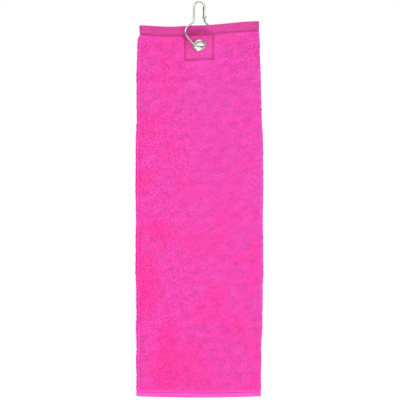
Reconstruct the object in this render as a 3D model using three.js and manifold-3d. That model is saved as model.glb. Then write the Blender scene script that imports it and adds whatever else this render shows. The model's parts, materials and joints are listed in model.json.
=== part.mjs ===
// A tri-fold golf towel with an eyelet and a spring-gate bag hook.
// Millimetres, +Z up. The towel hangs: its front faces -Y, and the origin is
// the inside of the hook's top bend, where a bag's ring bears.
import * as THREE from 'three';
import { mergeVertices } from 'three/addons/utils/BufferGeometryUtils.js';
import Module from 'manifold-3d';

// ---- Driving dimensions -------------------------------------------------
const CLEARANCE = 0.3;         // gap between pieces that lie on each other
const RUNNING_GAP = 0.2;       // radial gap of the rivet in its holes

// Towel, folded in three
const TOWEL_LENGTH = 500;
const FOLDED_WIDTH = 172;      // at the widest, half way down
const PILE_THICKNESS = 3.0;    // one layer of terry
const LAYER_GAP = 0.9;
const FREE_EDGE_INSET = 2.5;   // a free side edge stops short of the fold behind it
const TOP_HEM_HEIGHT = 14;
const BOTTOM_HEM_HEIGHT = 8;
const SIDE_HEM_WIDTH = 5;
const HEM_SQUEEZE = 0.62;      // thickness of the flat hems against the terry
const TOP_NARROWING = 0.945;   // width at the top hem against the widest
const BOTTOM_NARROWING = 0.965;
const CORNER_LIFT = 5.4;       // the folded corner rides up
const TOP_TAPER = 0.42;        // share of the length in which the top widens
const BOTTOM_TAPER = 0.38;
const EDGE_DIP = 2.0;          // the top edge sags between corner and hook
const EDGE_REACH = 120;        // how far down the top edge's shape dies away
const HEM_BOW = 1.6;           // the bottom edge bows down in the middle
const BOW_REACH = 60;
const HEM_BLEND = 12;          // from the flat hem to the full pile

// Hook
const WIRE_DIAMETER = 2.4;
const HOOK_TURN = 24;          // degrees between the hook's plane and the towel
const NECK_HALF = 7.8;
const SHOULDER_HALF = 8.2;
const SHOULDER_DROP = 26.2;    // below the origin
const SHOULDER_SLOPE = 36;     // degrees below level
const SHOULDER_RADIUS = 4;
const BELLY_RADIUS = 9.5;
const BOTTOM_RADIUS = 20;
const BOTTOM_OFFSET = 3.0;     // the lowest point lies towards the gate
const BOTTOM_DROP = 59.4;
const LEFT_SLOPE = 47;
const RIGHT_SLOPE = 62;

// Gate of the hook
const GATE_PIVOT_DROP = 19.5;
const NOSE_DROP = 7.6;
const GATE_TOP_DROP = 5.0;
const SHEET_METAL = 0.5;
const TONGUE_THICKNESS = 2.0;
const TONGUE_RADIUS = 1.7;
const EAR_RADIUS = 2.4;
const RIVET_RADIUS = 0.6;
const RIVET_HEAD_RADIUS = 1.4;
const RIVET_HEAD_HEIGHT = 0.5;
const RIVET_EDGE = 0.3;        // bevel round a rivet head
const RIVET_SEAT = 0.15;       // gap under a rivet head
const GATE_GAP = 0.25;         // between the gate and the wire inside it
const GATE_CORNER = 1.0;
const WEB_LIFT = 1.0;          // the web ends above the tongue's round end
const SPRING_THICKNESS = 0.25;
const SPRING_TOE = 0.3;        // half length of the toe that bears on the tongue
const SPRING_LEG = 3.5;        // height in which the leaf leaves the web
const SPRING_HEAD = 2;         // the leaf ends this far below the nose

// Eyelet and the patch that it is punched through
const EYELET_BORE = 13.6;
const EYELET_WALL = 0.45;
const EYELET_FLANGE = 19.6;
const EYELET_DOME = 1.2;
const CURL_WIDTH = 1.7;
const CURL_HEIGHT = 0.6;
const WASHER_THICKNESS = 0.5;
const CLAMPED_THICKNESS = 2.8; // all layers pressed together in the eyelet
const CLAMP_MARGIN = 3.3;      // cloth that is still flat round the flange
const LEAN_DOWN = 34;          // how far below and above the eyelet its lean dies away
const LEAN_UP = 14;
const SQUEEZE_REACH = 26;      // how far the layers take to spring back
const EYELET_DEPTH = 27.7;     // centre, below the towel's top edge
const EYELET_LEAN = 34;        // the face looks up
const EYELET_YAW = 14;         // and a little to the left
const PATCH_WIDTH = 42;
const PATCH_DEPTH = 48;        // lower edge, below the towel's top edge
const PATCH_THICKNESS = 0.9;
const PATCH_GAP = 1.0;

// Sewing threads
const THREAD_WIDTH = 0.9;
const THREAD_HEIGHT = 0.45;
const THREAD_LIFT = 0.45;
const SEAM_INSET = 1.8;        // from the edge that the seam holds

// Where the towel's top edge lies: the wire's lowest point crosses the eyelet
const WIRE_BELOW_CENTRE = 1.2;
const TOP_EDGE_Z = EYELET_DEPTH - BOTTOM_DROP + WIRE_BELOW_CENTRE;

// ---- Small helpers ------------------------------------------------------
const wasm = await Module();
wasm.setup();
const rad = THREE.MathUtils.degToRad;
const smooth = (t) => THREE.MathUtils.smoothstep(t, 0, 1);

function bare(geometry) {
  const copy = geometry.clone();
  copy.deleteAttribute('normal');
  copy.deleteAttribute('uv');
  return mergeVertices(copy, 1e-5);
}

function solid(geometry) {
  const merged = bare(geometry);
  return new wasm.Manifold(new wasm.Mesh({
    numProp: 3,
    vertProperties: new Float32Array(merged.attributes.position.array),
    triVerts: new Uint32Array(merged.index.array),
  }));
}

function geometryOf(manifold) {
  const mesh = manifold.getMesh();
  const geometry = new THREE.BufferGeometry();
  geometry.setAttribute('position', new THREE.BufferAttribute(mesh.vertProperties, 3));
  geometry.setIndex(new THREE.BufferAttribute(mesh.triVerts, 1));
  geometry.computeVertexNormals();
  return geometry;
}

const FINISHES = {
  terry: { color: 0xf050b2, roughness: 0.95, metalness: 0 },
  hem: { color: 0xe2469e, roughness: 0.8, metalness: 0 },
  thread: { color: 0xd9307f, roughness: 0.6, metalness: 0 },
  nickel: { color: 0xc9c9c2, roughness: 0.2, metalness: 1 },
};

function piece(name, geometry, finish) {
  const mesh = new THREE.Mesh(geometry, new THREE.MeshStandardMaterial(FINISHES[finish]));
  mesh.name = name;
  return mesh;
}

// ---- How the cloth lies ---------------------------------------------------
// A point of the cloth is (x, y, depth): x across and y through the folded
// towel as if it lay flat and thick, depth below its top edge. place() then
// narrows it, squeezes it and leans it round the eyelet.
const PITCH = PILE_THICKNESS + LAYER_GAP;
const HALF_WIDTH = FOLDED_WIDTH / 2;
const STACK_FRONT = PITCH + PILE_THICKNESS / 2 + PATCH_GAP + PATCH_THICKNESS;
const STACK_BACK = PITCH + PILE_THICKNESS / 2;
const LEAN_FACTOR = 1 / Math.hypot(1, Math.tan(rad(EYELET_LEAN)), Math.tan(rad(EYELET_YAW)));
const EYELET_SQUEEZE = CLAMPED_THICKNESS / ((STACK_FRONT + STACK_BACK) * LEAN_FACTOR);
const CLAMP_RADIUS = EYELET_FLANGE / 2 + CLAMP_MARGIN;

function widthFactor(depth) {
  const top = 1 - smooth(depth / (TOP_TAPER * TOWEL_LENGTH));
  const low = smooth(1 - (TOWEL_LENGTH - depth) / (BOTTOM_TAPER * TOWEL_LENGTH));
  return 1 - (1 - TOP_NARROWING) * top - (1 - BOTTOM_NARROWING) * low;
}

function edgeRise(x) {
  const lift = CORNER_LIFT * smooth(x / HALF_WIDTH);
  const dip = EDGE_DIP * Math.exp(-(((x + HALF_WIDTH / 2) / (HALF_WIDTH / 3)) ** 2));
  return lift - dip;
}

function heightAt(x, depth) {
  const nearTop = 1 - smooth(depth / EDGE_REACH);
  const nearBottom = smooth((depth - TOWEL_LENGTH + BOW_REACH) / BOW_REACH);
  const bow = HEM_BOW * (1 - (x / HALF_WIDTH) ** 2) * nearBottom;
  return TOP_EDGE_Z - depth + edgeRise(x) * nearTop - bow;
}

function squeezeAt(x, depth) {
  const topHem = 1 - smooth((depth - TOP_HEM_HEIGHT) / HEM_BLEND);
  const bottomHem = smooth((depth - (TOWEL_LENGTH - BOTTOM_HEM_HEIGHT - HEM_BLEND)) / HEM_BLEND);
  const hems = 1 - (1 - HEM_SQUEEZE) * Math.max(topHem, bottomHem);
  const distance = Math.hypot(x, depth - EYELET_DEPTH);
  const away = smooth((distance - CLAMP_RADIUS) / SQUEEZE_REACH);
  return (EYELET_SQUEEZE + (1 - EYELET_SQUEEZE) * away) * (1 - (1 - hems) * away);
}

// Inside the eyelet's clamp this is exactly the eyelet's own plane
function pullAt(x, depth) {
  const up = heightAt(x, depth) - heightAt(0, EYELET_DEPTH);
  const right = x * widthFactor(depth);
  const distance = Math.hypot(right, up);
  const reach = up > 0 ? LEAN_UP : LEAN_DOWN;
  const share = Math.min(1, Math.abs(up) / CLAMP_RADIUS);
  const reachHere = THREE.MathUtils.lerp(LEAN_DOWN, reach, share);
  const hold = distance <= CLAMP_RADIUS ? 1 : CLAMP_RADIUS / distance;
  const decay = 1 - smooth((distance - CLAMP_RADIUS) / reachHere);
  const slope = Math.tan(rad(EYELET_LEAN)) * up - Math.tan(rad(EYELET_YAW)) * right;
  return slope * hold * decay;
}

function place(x, y, depth) {
  return new THREE.Vector3(
    x * widthFactor(depth),
    y * squeezeAt(x, depth) + pullAt(x, depth),
    heightAt(x, depth),
  );
}

// Lines that start at a centre, stay a step apart near it and then spread out
function spread(low, high, centre, step, nearby, growth, extra = []) {
  const lines = new Set([low, high, ...extra, centre]);
  for (const side of [-1, 1]) {
    const limit = side < 0 ? centre - low : high - centre;
    let gap = step;
    for (let away = step; away < limit - step / 2; away += gap) {
      lines.add(centre + side * away);
      if (away > nearby) gap *= growth;
    }
  }
  return [...lines].filter((v) => v >= low && v <= high).sort((a, b) => a - b);
}

const TERRY_TOP = TOP_HEM_HEIGHT + CLEARANCE;
const TERRY_BOTTOM = TOWEL_LENGTH - BOTTOM_HEM_HEIGHT - CLEARANCE;
const CELL = 4;                     // width of the cloth's facets near the eyelet
const NEARBY = CLAMP_RADIUS + CELL / 2;
const GROWTH = 1.6;                 // of each facet against the last, farther out
const acrossLines = (low, high, extra = []) => {
  const wanted = [-PATCH_WIDTH / 2, PATCH_WIDTH / 2, low, high, ...extra];
  const lines = spread(-HALF_WIDTH, HALF_WIDTH, 0, CELL, NEARBY, GROWTH, wanted);
  return lines.filter((x) => x >= low && x <= high);
};
const depthLines = (low, high, extra = []) => {
  const wanted = [TERRY_TOP, PATCH_DEPTH, low, high, ...extra];
  const lines = spread(0, TOWEL_LENGTH, EYELET_DEPTH, CELL, NEARBY, GROWTH, wanted);
  return lines.filter((d) => d >= low && d <= high);
};

// Places along the folded sheet, seen from above: front panel from left to
// right, round the right fold, middle panel back, round the left fold, back
// panel to the right. Each has its outward side as a unit normal.
function foldedRoute(from, to) {
  const bend = HALF_WIDTH - PITCH / 2 - PILE_THICKNESS / 2;
  const frontY = -PITCH;
  const route = [];
  const straight = (a, b, y, side) => {
    const lines = acrossLines(Math.min(a, b), Math.max(a, b));
    if (b < a) lines.reverse();
    lines.forEach((x) => route.push({ x, y, nx: 0, ny: side }));
  };
  const turn = (x, y, sign) => {
    for (const degrees of [-45, 0, 45]) {
      const angle = rad(degrees);
      const nx = sign * Math.cos(angle);
      const ny = Math.sin(angle);
      route.push({
        x: x + (nx * PITCH) / 2, y: y + (ny * PITCH) / 2,
        nx: sign * nx, ny: sign * ny,
      });
    }
  };
  straight(from, bend, frontY, -1);
  turn(bend, frontY + PITCH / 2, 1);
  straight(bend, -bend, 0, 1);
  turn(-bend, PITCH / 2, -1);
  straight(-bend, to, PITCH, -1);
  return route;
}

function flatRoute(low, high, y, side, extra = []) {
  const lines = acrossLines(low, high, extra);
  if (side > 0) lines.reverse();
  return lines.map((x) => ({ x, y, nx: 0, ny: side }));
}

// The inner face of a box of cells, split along the same diagonals as its outer
// face, so that sheets that lie on each other have matching facets
function matchDiagonals(geometry, cells) {
  const index = geometry.index;
  for (let i = index.count - 6 * cells; i < index.count; i += 6) {
    const [a, b, d, c] = [0, 1, 2, 4].map((k) => index.getX(i + k));
    [a, b, c, a, c, d].forEach((corner, k) => index.setX(i + k, corner));
  }
}

// A box of cells whose columns follow a route and whose rows follow depths,
// between two distances outward of the route
function sheet(route, depths, inner, outer) {
  const box = new THREE.BoxGeometry(1, 1, 1, route.length - 1, depths.length - 1, 1);
  const geometry = bare(box);
  const spots = geometry.attributes.position;
  for (let i = 0; i < spots.count; i++) {
    const stop = route[Math.round((spots.getX(i) + 0.5) * (route.length - 1))];
    const depth = depths[Math.round((0.5 - spots.getY(i)) * (depths.length - 1))];
    const out = spots.getZ(i) > 0 ? outer : inner;
    const point = place(stop.x + out * stop.nx, stop.y + out * stop.ny, depth);
    spots.setXYZ(i, point.x, point.y, point.z);
  }
  matchDiagonals(geometry, (route.length - 1) * (depths.length - 1));
  geometry.computeVertexNormals();
  return geometry;
}

const HALF_PILE = PILE_THICKNESS / 2;
const FRONT_EDGE = -HALF_WIDTH + FREE_EDGE_INSET;
const BACK_EDGE = HALF_WIDTH - FREE_EDGE_INSET;

// ---- Eyelet ----------------------------------------------------------------
const ROUND_SIDES = 36;

// Its axis points out of the towel's front, up and to the left
const eyeletAxis = new THREE.Vector3(
  -Math.tan(rad(EYELET_YAW)), -1, Math.tan(rad(EYELET_LEAN)),
).normalize();
const stackMiddle = ((STACK_BACK - STACK_FRONT) / 2) * EYELET_SQUEEZE;
const eyeletCentre = new THREE.Vector3(0, stackMiddle, heightAt(0, EYELET_DEPTH));

function onEyelet(geometry) {
  geometry.rotateX(Math.PI / 2).applyQuaternion(
    new THREE.Quaternion().setFromUnitVectors(new THREE.Vector3(0, 0, 1), eyeletAxis),
  );
  return geometry.translate(eyeletCentre.x, eyeletCentre.y, eyeletCentre.z);
}

// Half an ellipse of a rolled metal edge, from its outer foot to its inner one
function rolled(middle, base, halfWidth, height, steps) {
  return Array.from({ length: steps + 1 }, (_, i) => {
    const angle = (Math.PI * i) / steps;
    return new THREE.Vector2(middle + halfWidth * Math.cos(angle), base + height * Math.sin(angle));
  });
}

function eyeletGeometry() {
  const bore = EYELET_BORE / 2;
  const flange = EYELET_FLANGE / 2;
  const seat = CLAMPED_THICKNESS / 2 + CLEARANCE;
  const curlSeat = -(seat + WASHER_THICKNESS + CLEARANCE);
  const dome = rolled((flange + bore) / 2, seat, (flange - bore) / 2, EYELET_DOME, 8);
  const curl = rolled(bore + CURL_WIDTH / 2, curlSeat, CURL_WIDTH / 2, -CURL_HEIGHT, 6).reverse();
  const barrel = bore + EYELET_WALL;
  const back = [new THREE.Vector2(barrel, curlSeat), new THREE.Vector2(barrel, seat)];
  const profile = [...dome, ...curl, ...back, dome[0].clone()];
  return onEyelet(new THREE.LatheGeometry(profile, ROUND_SIDES));
}

function washerGeometry() {
  const inner = EYELET_BORE / 2 + EYELET_WALL + CLEARANCE;
  const outer = EYELET_FLANGE / 2;
  const top = -(CLAMPED_THICKNESS / 2 + CLEARANCE);
  const low = top - WASHER_THICKNESS;
  const bevel = WASHER_THICKNESS / 2;
  const profile = [
    [inner, low], [outer - bevel, low], [outer, low + bevel], [outer, top], [inner, top], [inner, low],
  ].map(([r, a]) => new THREE.Vector2(r, a));
  return onEyelet(new THREE.LatheGeometry(profile, ROUND_SIDES));
}

const punchRadius = EYELET_BORE / 2 + EYELET_WALL + CLEARANCE;
const punchLength = 2 * (STACK_FRONT + STACK_BACK);
const punch = solid(onEyelet(
  new THREE.CylinderGeometry(punchRadius, punchRadius, punchLength, ROUND_SIDES),
));
const punched = (geometry) => geometryOf(solid(geometry).subtract(punch));

// ---- Threads ---------------------------------------------------------------
// Places (x, depth) along straight runs between corners
function seamPath(corners) {
  const path = [];
  corners.slice(1).forEach(([x1, d1], i) => {
    const [x0, d0] = corners[i];
    const upright = x0 === x1;
    const [from, to] = upright ? [d0, d1] : [x0, x1];
    const lines = upright ? depthLines : acrossLines;
    const along = lines(Math.min(from, to), Math.max(from, to));
    if (to < from) along.reverse();
    along.slice(i ? 1 : 0).forEach((v) => path.push(upright ? [x0, v] : [v, d0]));
  });
  return path.map(([x, depth]) => new THREE.Vector2(x, depth));
}

// A seam is a flat ribbon along its corners, standing off a panel's face, with
// mitred corners
function seam(corners, level, side) {
  const path = seamPath(corners);
  const last = path.length - 1;
  const box = bare(new THREE.BoxGeometry(1, 1, 1, last, 1, 1));
  const spots = box.attributes.position;
  for (let i = 0; i < spots.count; i++) {
    const index = Math.round((spots.getX(i) + 0.5) * last);
    const before = path[Math.max(1, index)].clone().sub(path[Math.max(0, index - 1)]).normalize();
    const after = path[Math.min(last, index + 1)].clone().sub(path[Math.min(last - 1, index)]).normalize();
    const mitre = new THREE.Vector2(before.y + after.y, -before.x - after.x).normalize();
    const stretch = 1 / mitre.dot(new THREE.Vector2(after.y, -after.x));
    const across = mitre.multiplyScalar(spots.getY(i) * THREAD_WIDTH * stretch).add(path[index]);
    const out = THREAD_LIFT + (spots.getZ(i) * side < 0 ? THREAD_HEIGHT : 0);
    const point = place(across.x, level + side * out, across.y);
    spots.setXYZ(i, point.x, point.y, point.z);
  }
  return geometryOf(solid(box));
}

const FRONT_FACE = -PITCH - HALF_PILE;
const BACK_FACE = PITCH + HALF_PILE;
const PATCH_FACE = FRONT_FACE - PATCH_GAP - PATCH_THICKNESS;

// ---- Hook --------------------------------------------------------------------
// The hook is drawn in its own plane, x to its right and z up, and turned after.
const WIRE = WIRE_DIAMETER / 2;

class Bend extends THREE.Curve {
  constructor(centre, radius, start, sweep) {
    super();
    Object.assign(this, { centre, radius, start, sweep });
  }

  getPoint(t, target = new THREE.Vector3()) {
    const angle = this.start + this.sweep * t;
    const x = this.centre.x + this.radius * Math.cos(angle);
    return target.set(x, 0, this.centre.y + this.radius * Math.sin(angle));
  }
}

// Where two lines cross, each given by a point and its rise per unit of x
function crossing(a, riseA, b, riseB) {
  const x = (b.y - a.y + riseA * a.x - riseB * b.x) / (riseA - riseB);
  return new THREE.Vector2(x, a.y + riseA * (x - a.x));
}

const TINY = 0.01;

// A path through corners, each rounded with its own radius
function roundedPath(start, corners, end) {
  const path = new THREE.CurvePath();
  const lift = (p) => new THREE.Vector3(p.x, 0, p.y);
  let last = start;
  corners.forEach(({ at, radius }, i) => {
    const from = (i ? corners[i - 1].at : start).clone().sub(at).normalize();
    const to = (i + 1 < corners.length ? corners[i + 1].at : end).clone().sub(at).normalize();
    const half = Math.acos(from.dot(to)) / 2;
    const touch = radius / Math.tan(half);
    const first = at.clone().addScaledVector(from, touch);
    const second = at.clone().addScaledVector(to, touch);
    const middle = from.clone().add(to).normalize();
    const centre = at.clone().addScaledVector(middle, radius / Math.sin(half));
    const startAngle = Math.atan2(first.y - centre.y, first.x - centre.x);
    let sweep = Math.atan2(second.y - centre.y, second.x - centre.x) - startAngle;
    if (sweep > Math.PI) sweep -= 2 * Math.PI;
    if (sweep < -Math.PI) sweep += 2 * Math.PI;
    if (first.distanceTo(last) > TINY) path.add(new THREE.LineCurve3(lift(last), lift(first)));
    path.add(new Bend(centre, radius, startAngle, sweep));
    last = second;
  });
  path.add(new THREE.LineCurve3(lift(last), lift(end)));
  return path;
}

function hookPath() {
  const v = (x, z) => new THREE.Vector2(x, z);
  const bottomCentre = v(BOTTOM_OFFSET, -BOTTOM_DROP + BOTTOM_RADIUS);
  const tangent = (slope, side) => ({
    at: v(
      bottomCentre.x + side * BOTTOM_RADIUS * Math.sin(rad(slope)),
      bottomCentre.y - BOTTOM_RADIUS * Math.cos(rad(slope)),
    ),
    rise: side * Math.tan(rad(slope)),
  });
  const left = tangent(LEFT_SLOPE, -1);
  const right = tangent(RIGHT_SLOPE, 1);
  const shoulderRise = Math.tan(rad(SHOULDER_SLOPE));
  const leftShoulder = v(-SHOULDER_HALF, -SHOULDER_DROP);
  const rightShoulder = v(SHOULDER_HALF, -SHOULDER_DROP);
  const corners = [
    { at: v(NECK_HALF, WIRE), radius: NECK_HALF - TINY / 10 },
    { at: v(-NECK_HALF, WIRE), radius: NECK_HALF - TINY / 10 },
    { at: leftShoulder, radius: SHOULDER_RADIUS },
    { at: crossing(leftShoulder, shoulderRise, left.at, left.rise), radius: BELLY_RADIUS },
    { at: crossing(left.at, left.rise, right.at, right.rise), radius: BOTTOM_RADIUS },
    { at: crossing(rightShoulder, -shoulderRise, right.at, right.rise), radius: BELLY_RADIUS },
    { at: rightShoulder, radius: SHOULDER_RADIUS },
  ];
  return roundedPath(v(NECK_HALF, -NOSE_DROP), corners, v(NECK_HALF, -GATE_PIVOT_DROP));
}

const PIVOT = new THREE.Vector3(NECK_HALF, 0, -GATE_PIVOT_DROP);

// A flat piece in the hook's plane, from an outline in (x, z), centred on y
function plate(shape, thickness, y = 0) {
  const settings = { depth: thickness, bevelEnabled: false, curveSegments: 6 };
  const geometry = new THREE.ExtrudeGeometry(shape, settings);
  return solid(geometry.translate(0, 0, -thickness / 2).rotateX(Math.PI / 2).translate(0, y, 0));
}

function block(x0, x1, y0, y1, z0, z1) {
  const box = new THREE.BoxGeometry(x1 - x0, y1 - y0, z1 - z0);
  return solid(box.translate((x0 + x1) / 2, (y0 + y1) / 2, (z0 + z1) / 2));
}

function disc(radius, thickness, sides = 16) {
  const cylinder = new THREE.CylinderGeometry(radius, radius, thickness, sides);
  return solid(cylinder.translate(PIVOT.x, PIVOT.y, PIVOT.z));
}

function hookWireGeometry() {
  const section = new THREE.Shape();
  section.absarc(0, 0, WIRE, 0, 2 * Math.PI);
  const wire = solid(new THREE.ExtrudeGeometry(section, {
    extrudePath: hookPath(), steps: 84, curveSegments: 5, bevelEnabled: false,
  }));
  const half = TONGUE_THICKNESS / 2;
  const reach = 2 * WIRE;
  const left = PIVOT.x - reach;
  const right = PIVOT.x + reach;
  const low = PIVOT.z - reach;
  const high = PIVOT.z + reach;
  const front = block(left, right, -reach, -half, low, high);
  const back = block(left, right, half, reach, low, high);
  const tongue = disc(TONGUE_RADIUS, TONGUE_THICKNESS);
  const hole = disc(RIVET_RADIUS + RUNNING_GAP, 2 * reach);
  return geometryOf(wire.subtract(front).subtract(back).add(tongue).subtract(hole));
}

const CHEEK_INNER = WIRE + GATE_GAP;
const CHEEK_OUTER = CHEEK_INNER + SHEET_METAL;
const WEB_OUTER = NECK_HALF - WIRE - GATE_GAP;
const WEB_INNER = WEB_OUTER - SHEET_METAL;
const WEB_FOOT = PIVOT.z + TONGUE_RADIUS + WEB_LIFT;

function gateGeometry() {
  const cheek = new THREE.Shape();
  cheek.moveTo(WEB_INNER, -GATE_TOP_DROP);
  cheek.lineTo(WEB_INNER, WEB_FOOT);
  cheek.lineTo(PIVOT.x - EAR_RADIUS, PIVOT.z);
  cheek.absarc(PIVOT.x, PIVOT.z, EAR_RADIUS, Math.PI, 2 * Math.PI, false);
  cheek.lineTo(PIVOT.x + WIRE, WEB_FOOT);
  cheek.lineTo(PIVOT.x + WIRE, -GATE_TOP_DROP - GATE_CORNER);
  cheek.lineTo(PIVOT.x + WIRE - GATE_CORNER, -GATE_TOP_DROP);
  cheek.closePath();
  const middle = (CHEEK_INNER + CHEEK_OUTER) / 2;
  const web = block(WEB_INNER, WEB_OUTER, -middle, middle, WEB_FOOT, -GATE_TOP_DROP);
  const hole = disc(RIVET_RADIUS + RUNNING_GAP, 4 * CHEEK_OUTER);
  const cheeks = plate(cheek, SHEET_METAL, middle).add(plate(cheek, SHEET_METAL, -middle));
  return geometryOf(cheeks.add(web).subtract(hole));
}

function rivetGeometry() {
  const seat = CHEEK_OUTER + RIVET_SEAT;
  const top = seat + RIVET_HEAD_HEIGHT;
  const edge = RIVET_HEAD_RADIUS - RIVET_EDGE;
  const shoulder = top - RIVET_EDGE;
  const upper = [
    [RIVET_RADIUS, seat], [RIVET_HEAD_RADIUS, seat], [RIVET_HEAD_RADIUS, shoulder], [edge, top], [0, top],
  ];
  const lower = upper.map(([r, y]) => [r, -y]).reverse();
  const profile = [...lower, ...upper].map(([r, y]) => new THREE.Vector2(r, y));
  return new THREE.LatheGeometry(profile, 16).translate(PIVOT.x, PIVOT.y, PIVOT.z);
}

// A leaf that lies on the web and whose toe bears on the tongue's round end
function springGeometry() {
  const toe = PIVOT.z + TONGUE_RADIUS + RIVET_SEAT;
  const head = -NOSE_DROP - SPRING_HEAD;
  const start = WEB_OUTER + CLEARANCE / 2;
  const knee = PIVOT.x - SPRING_TOE;
  const tip = PIVOT.x + SPRING_TOE;
  const thick = SPRING_THICKNESS;
  const leaf = new THREE.Shape();
  leaf.moveTo(start, head);
  leaf.lineTo(start, toe + SPRING_LEG);
  leaf.lineTo(knee, toe + SPRING_TOE);
  leaf.lineTo(tip, toe);
  leaf.lineTo(tip, toe + thick);
  leaf.lineTo(knee, toe + SPRING_TOE + thick);
  leaf.lineTo(start + thick, toe + SPRING_LEG);
  leaf.lineTo(start + thick, head);
  leaf.closePath();
  return geometryOf(plate(leaf, 2 * CHEEK_INNER - 2 * CLEARANCE));
}

// ---- Assembly ------------------------------------------------------------------
const group = new THREE.Group();

const frontTerry = FRONT_EDGE + SIDE_HEM_WIDTH + CLEARANCE;
const backTerry = BACK_EDGE - SIDE_HEM_WIDTH - CLEARANCE;
const terryDepths = depthLines(TERRY_TOP, TERRY_BOTTOM);
const cloth = sheet(foldedRoute(frontTerry, backTerry), terryDepths, -HALF_PILE, HALF_PILE);
const topSeam = TOP_HEM_HEIGHT - SEAM_INSET;
const bottomSeam = TOWEL_LENGTH - BOTTOM_HEM_HEIGHT + SEAM_INSET;
const besideSeam = (depth) => [depth - THREAD_WIDTH / 2, depth + THREAD_WIDTH / 2];
const topDepths = [0, topSeam / 3, (2 * topSeam) / 3, ...besideSeam(topSeam), TOP_HEM_HEIGHT];
const topHem = sheet(foldedRoute(FRONT_EDGE, BACK_EDGE), topDepths, -HALF_PILE, HALF_PILE);
const bottomDepths = [TOWEL_LENGTH - BOTTOM_HEM_HEIGHT, ...besideSeam(bottomSeam), TOWEL_LENGTH];
const bottomHem = sheet(foldedRoute(FRONT_EDGE, BACK_EDGE), bottomDepths, -HALF_PILE, HALF_PILE);

const frontHemRoute = flatRoute(FRONT_EDGE, FRONT_EDGE + SIDE_HEM_WIDTH, -PITCH, -1);
const frontSideHem = sheet(frontHemRoute, terryDepths, -HALF_PILE, HALF_PILE);
const backHemRoute = flatRoute(BACK_EDGE - SIDE_HEM_WIDTH, BACK_EDGE, PITCH, -1);
const backSideHem = sheet(backHemRoute, terryDepths, -HALF_PILE, HALF_PILE);
const patchInner = HALF_PILE + PATCH_GAP;
const patchSide = PATCH_WIDTH / 2 - SEAM_INSET;
const patchFoot = PATCH_DEPTH - SEAM_INSET;
const patchColumns = [...besideSeam(-patchSide), ...besideSeam(patchSide)];
const patchRoute = flatRoute(-PATCH_WIDTH / 2, PATCH_WIDTH / 2, -PITCH, -1, patchColumns);
const patchDepths = depthLines(TERRY_TOP, PATCH_DEPTH, besideSeam(patchFoot));
const patch = sheet(patchRoute, patchDepths, patchInner, patchInner + PATCH_THICKNESS);

group.add(piece('towel_cloth', punched(cloth), 'terry'));
group.add(piece('top_hem', topHem, 'hem'));
group.add(piece('bottom_hem', bottomHem, 'hem'));
group.add(piece('front_side_hem', frontSideHem, 'hem'));
group.add(piece('back_side_hem', backSideHem, 'hem'));
group.add(piece('eyelet_patch', punched(patch), 'hem'));

const seamEnd = HALF_WIDTH - PITCH - SEAM_INSET;
const frontStart = FRONT_EDGE + SEAM_INSET;
const backEnd = BACK_EDGE - SEAM_INSET;
const frontSideSeam = FRONT_EDGE + SIDE_HEM_WIDTH - SEAM_INSET;
const backSideSeam = BACK_EDGE - SIDE_HEM_WIDTH + SEAM_INSET;
const sideSeamTop = TERRY_TOP + SEAM_INSET;
const sideSeamFoot = TERRY_BOTTOM - SEAM_INSET;
const patchBox = [
  [-patchSide, sideSeamTop], [-patchSide, patchFoot], [patchSide, patchFoot], [patchSide, sideSeamTop],
];
const seams = [
  ['top_hem_thread_front', [[frontStart, topSeam], [seamEnd, topSeam]], FRONT_FACE, -1],
  ['top_hem_thread_back', [[-seamEnd, topSeam], [backEnd, topSeam]], BACK_FACE, 1],
  ['bottom_hem_thread_front', [[frontStart, bottomSeam], [seamEnd, bottomSeam]], FRONT_FACE, -1],
  ['bottom_hem_thread_back', [[-seamEnd, bottomSeam], [backEnd, bottomSeam]], BACK_FACE, 1],
  ['front_side_thread', [[frontSideSeam, sideSeamTop], [frontSideSeam, sideSeamFoot]], FRONT_FACE, -1],
  ['back_side_thread', [[backSideSeam, sideSeamTop], [backSideSeam, sideSeamFoot]], BACK_FACE, 1],
  ['patch_thread', patchBox, PATCH_FACE, -1],
];
seams.forEach(([name, corners, level, side]) => {
  group.add(piece(name, seam(corners, level, side), 'thread'));
});

group.add(piece('eyelet', eyeletGeometry(), 'nickel'));
group.add(piece('eyelet_washer', washerGeometry(), 'nickel'));

const hook = new THREE.Group();
hook.rotation.z = rad(HOOK_TURN);
hook.add(piece('hook_wire', hookWireGeometry(), 'nickel'));
hook.add(piece('gate', gateGeometry(), 'nickel'));
hook.add(piece('gate_rivet', rivetGeometry(), 'nickel'));
hook.add(piece('gate_spring', springGeometry(), 'nickel'));
group.add(hook);

export default group;
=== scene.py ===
"""A tri-fold golf towel in pink terry with an eyelet, a sewn patch and a spring-gate bag hook.

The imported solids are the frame. Every piece here is a surface in that frame, in metres: the towel
hangs, its front faces -Y, and the origin is the inside of the hook's top bend.
"""

import json
import math

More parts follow.
